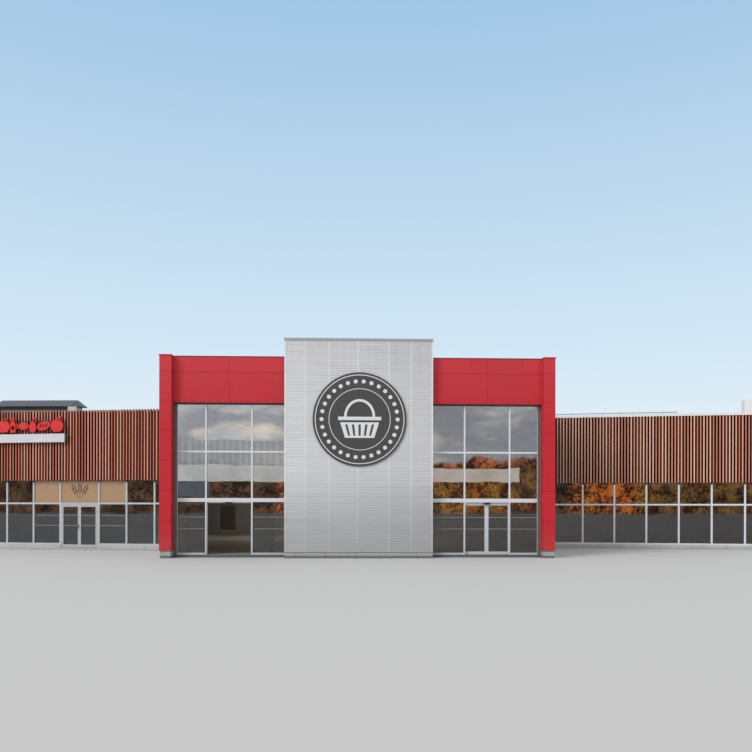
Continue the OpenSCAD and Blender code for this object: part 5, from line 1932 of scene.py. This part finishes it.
@dataclass
class Studio:
    """The camera, the lamps, the plain floor and the plain surroundings."""

    eye: Triple = (5.901, -31.768, 2.12)
    heading: float = math.radians(9.2)
    roll: float = 0.0019
    lens: float = 36.0
    sensor: float = 36.0
    horizon_row: float = 508.0
    image_size: float = 752.0
    floor_colour: Colour = (0.6, 0.6, 0.59)
    mirrored_floor: Colour = (0.145, 0.105, 0.078)
    mirrored_left: Colour = (0.06, 0.051, 0.046)
    floor_radius: float = 260.0
    floor_drop: float = 0.002
    sun_strength: float = 1.5
    sun_angle: float = math.radians(24.0)
    sun_towards: Triple = (0.55, 0.78, -0.62)
    sky_strength: float = 0.72
    inner_colour: Colour = (1.0, 0.86, 0.7)
    inner_lamps: tuple[tuple[str, Triple, Pair, float], ...] = (
        ("hall_lamp", (-5.0, 16.5, 5.8), (14.0, 6.0), 300.0),
        ("portal_lamp", (-2.0, 6.0, 7.7), (10.0, 4.0), 45.0))

    def build(self) -> None:
        """Sets up everything that isn't part of the building."""
        self._camera()
        self._floor()
        self._sun()
        for name, place, size, power in self.inner_lamps:
            self._inner_lamp(name, place, size, power)
        self._sky()
        bpy.context.scene.view_settings.view_transform = "Standard"

    def _camera(self) -> None:
        """Makes the camera at the photograph's place and angle."""
        data = bpy.data.cameras.new("photo_camera")
        data.lens = self.lens
        data.sensor_width = self.sensor
        data.shift_y = (self.horizon_row - self.image_size / 2) / self.image_size
        data.clip_end = 1000.0
        camera = placed("photo_camera", data)
        camera.matrix_world = (Matrix.Translation(self.eye) @ Matrix.Rotation(self.heading, 4, "Z")
                               @ Matrix.Rotation(math.pi / 2, 4, "X") @ Matrix.Rotation(self.roll, 4, "Z"))
        bpy.context.scene.camera = camera

    def _floor(self) -> None:
        """Lays a plain pale floor just below the building's feet."""
        made = bmesh.new()
        bmesh.ops.create_circle(made, cap_ends=True, segments=96, radius=self.floor_radius,
                                matrix=Matrix.Translation((0.0, 0.0, -self.floor_drop)))
        mesh = bpy.data.meshes.new("studio_floor")
        made.to_mesh(mesh)
        made.free()
        material = bpy.data.materials.new("studio_floor")
        material.use_nodes = True
        shader = Shader(material.node_tree)
        path, place = shader.node("ShaderNodeLightPath").outputs, shader.place()
        streaks = shader.noise(shader.stretched(place, (0.7, 0.25, 1.0)), 1.0, 6.0, 0.7)
        to_left = shader.parts(place)[0].between(-12.0, -22.0)
        dark = shader.mix(to_left, self.mirrored_floor, self.mirrored_left)
        dark = shader.toned(dark, 0.6 + streaks.between(0.35, 0.65) * 0.4)
        shader.paint(Base_Color=shader.mix(path["Is Glossy Ray"], self.floor_colour, dark), Roughness=0.9)
        mesh.materials.append(material)
        placed("studio_floor", mesh)

    def _sun(self) -> None:
        """Hangs one broad lamp to the left of the camera."""
        data = bpy.data.lights.new("broad_lamp", "SUN")
        data.energy = self.sun_strength
        data.angle = self.sun_angle
        lamp = placed("broad_lamp", data)
        lamp.rotation_mode = "QUATERNION"
        lamp.rotation_quaternion = Vector(self.sun_towards).to_track_quat("-Z", "Y")

    def _inner_lamp(self, name: str, place: Triple, size: Pair, power: float) -> None:
        """Hangs a soft lamp under a ceiling, which lights the bare rooms and doesn't show itself.

        Args:
            name: Its name.
            place: Its middle, in the frame's coordinates.
            size: Its width and its depth.
            power: Its power in watts.
        """
        data = bpy.data.lights.new(name, "AREA")
        data.shape = "RECTANGLE"
        data.size, data.size_y = size
        data.energy = power
        data.color = self.inner_colour
        lamp = placed(name, data)
        lamp.location = place
        lamp.visible_camera = lamp.visible_glossy = lamp.visible_transmission = False

    def _sky(self) -> None:
        """Fills the surroundings: even light, a pale backdrop, and soft bands for the glass to mirror."""
        world = bpy.data.worlds.new("studio_sky")
        world.use_nodes = True
        bpy.context.scene.world = world
        shader = Shader(world.node_tree)
        way = Signal(shader, shader.node("ShaderNodeTexCoord").outputs["Generated"])
        _, _, rise = shader.parts(way)
        backdrop = shader.ramp(rise * 1.6, ((0.0, (0.86, 0.92, 0.96)), (0.3, (0.66, 0.81, 0.92)),
                                            (1.0, (0.3, 0.52, 0.77))))
        mirrored = shader.mix(rise.between(0.16, 0.5), self._mirrored(shader, way), backdrop)
        path = shader.node("ShaderNodeLightPath").outputs
        light = (self.sky_strength,) * 3
        seen = shader.mix(path["Is Camera Ray"], light, backdrop)
        seen = shader.mix(path["Is Transmission Ray"], seen, backdrop)
        seen = shader.mix(path["Is Glossy Ray"], seen, mirrored)
        glow = shader.node("ShaderNodeBackground", {}, {"Color": seen, "Strength": 1.0})
        shader.node("ShaderNodeOutputWorld", {}, {"Surface": glow.outputs[0]})

    @staticmethod
    def _mirrored(shader: Shader, way: Signal) -> Signal:
        """What the glass mirrors: clouds, autumn trees, and a low pale building before them.

        Args:
            shader: The world's nodes.
            way: The direction that a ray leaves in.

        Returns:
            The colour in that direction.
        """
        across, _, rise = shader.parts(way)
        lumps = shader.noise(shader.stretched(way, (1.0, 1.0, 2.6)), 9.0, 6.0, 0.6)
        warm = shader.noise(shader.stretched(way, (1.0, 1.0, 3.0)), 14.0, 3.0)
        pale = shader.mix(warm.between(0.4, 0.6), (1.1, 1.12, 1.15), (1.65, 1.4, 1.2))
        clouds = shader.mix(lumps.between(0.4, 0.62), (0.68, 0.7, 0.76), pale)
        wisps = shader.noise(shader.stretched(way, (1.0, 1.0, 4.5)), 34.0, 5.0, 0.65)
        clouds = shader.toned(clouds, 1.08 - across.between(0.15, 0.3) * 0.3 + (wisps - 0.5) * 0.5)
        leaves = shader.noise(way, 330.0, 4.0, 0.8)
        boughs = shader.noise(way, 60.0, 5.0, 0.7)
        red = shader.noise(way, 16.0, 2.0).between(0.42, 0.58)
        bright = shader.mix(red, (0.75, 0.34, 0.06), (1.1, 0.25, 0.06))
        bright = shader.mix(across.between(0.18, 0.12) * 0.6, bright, (1.3, 0.4, 0.07))
        bright = shader.mix(rise.between(0.046, 0.06) * 0.8, bright, (1.3, 0.32, 0.14))
        bright = shader.mix(across.between(0.1, 0.085) * 0.85, bright, (0.15, 0.13, 0.1))
        shaded = across.between(0.17, 0.21) * across.between(0.31, 0.29) + across.between(0.385, 0.4)
        bright = shader.mix(shaded * 0.6, bright, (0.22, 0.15, 0.09))
        leafy = (leaves * 0.55 + boughs * 0.45).between(0.43, 0.6)
        trees = shader.mix(leafy, (0.025, 0.015, 0.012), bright)
        crown = 0.02 + shader.noise(shader.stretched(way, (1.0, 1.0, 0.2)), 9.0, 5.0, 0.6) * 0.085
        far = shader.mix((rise - crown).between(-0.003, 0.003), trees, clouds)
        shed = (across < 0.005) * (across > -0.08) * (rise > 0.014)
        far = shader.mix(shed * (rise < 0.05) * 0.9, far, (0.2, 0.23, 0.28))
        ribs = across.fold(0.004).between(0.0, 0.004)
        wall = shader.mix(ribs, (0.6, 0.61, 0.63), (0.82, 0.83, 0.85))
        in_wall = (rise > 0.05) * (rise < 0.088) * (across > -0.08) * (across < 0.14)
        far = shader.mix(in_wall * 0.8, far, wall)
        in_band = (rise > 0.034) * (rise < 0.056 - across.between(0.1, 0.3) * 0.0035) * (across > -0.08)
        grime = shader.noise(way, 40.0, 4.0)
        band = shader.mix(across.between(0.1, 0.3), (1.08, 1.08, 1.03), (1.1, 0.96, 0.84))
        far = shader.mix(in_band * (across < 0.4) * 0.92, far, shader.toned(band, 0.6 + grime * 0.8))
        return shader.mix(rise.between(-0.002, -0.012), far, (0.14, 0.125, 0.11))


def main() -> None:
    """Dresses the frame, builds each sub-assembly and sets up the studio."""
    logging.basicConfig(level=logging.INFO, format="%(name)s: %(message)s")
    entrance = Entrance.from_joints(frame["joints"])
    finishes = Finishes(entrance)
    finishes.dress_nodes()
    for kind in (Glaziery, TowerSign, WingSign, PanelMotif, RaisedRoof, Trimming, Sensors, RoofSeams):
        kind(entrance, finishes).build()
    Studio().build()


if __name__ == "__main__":
    main()
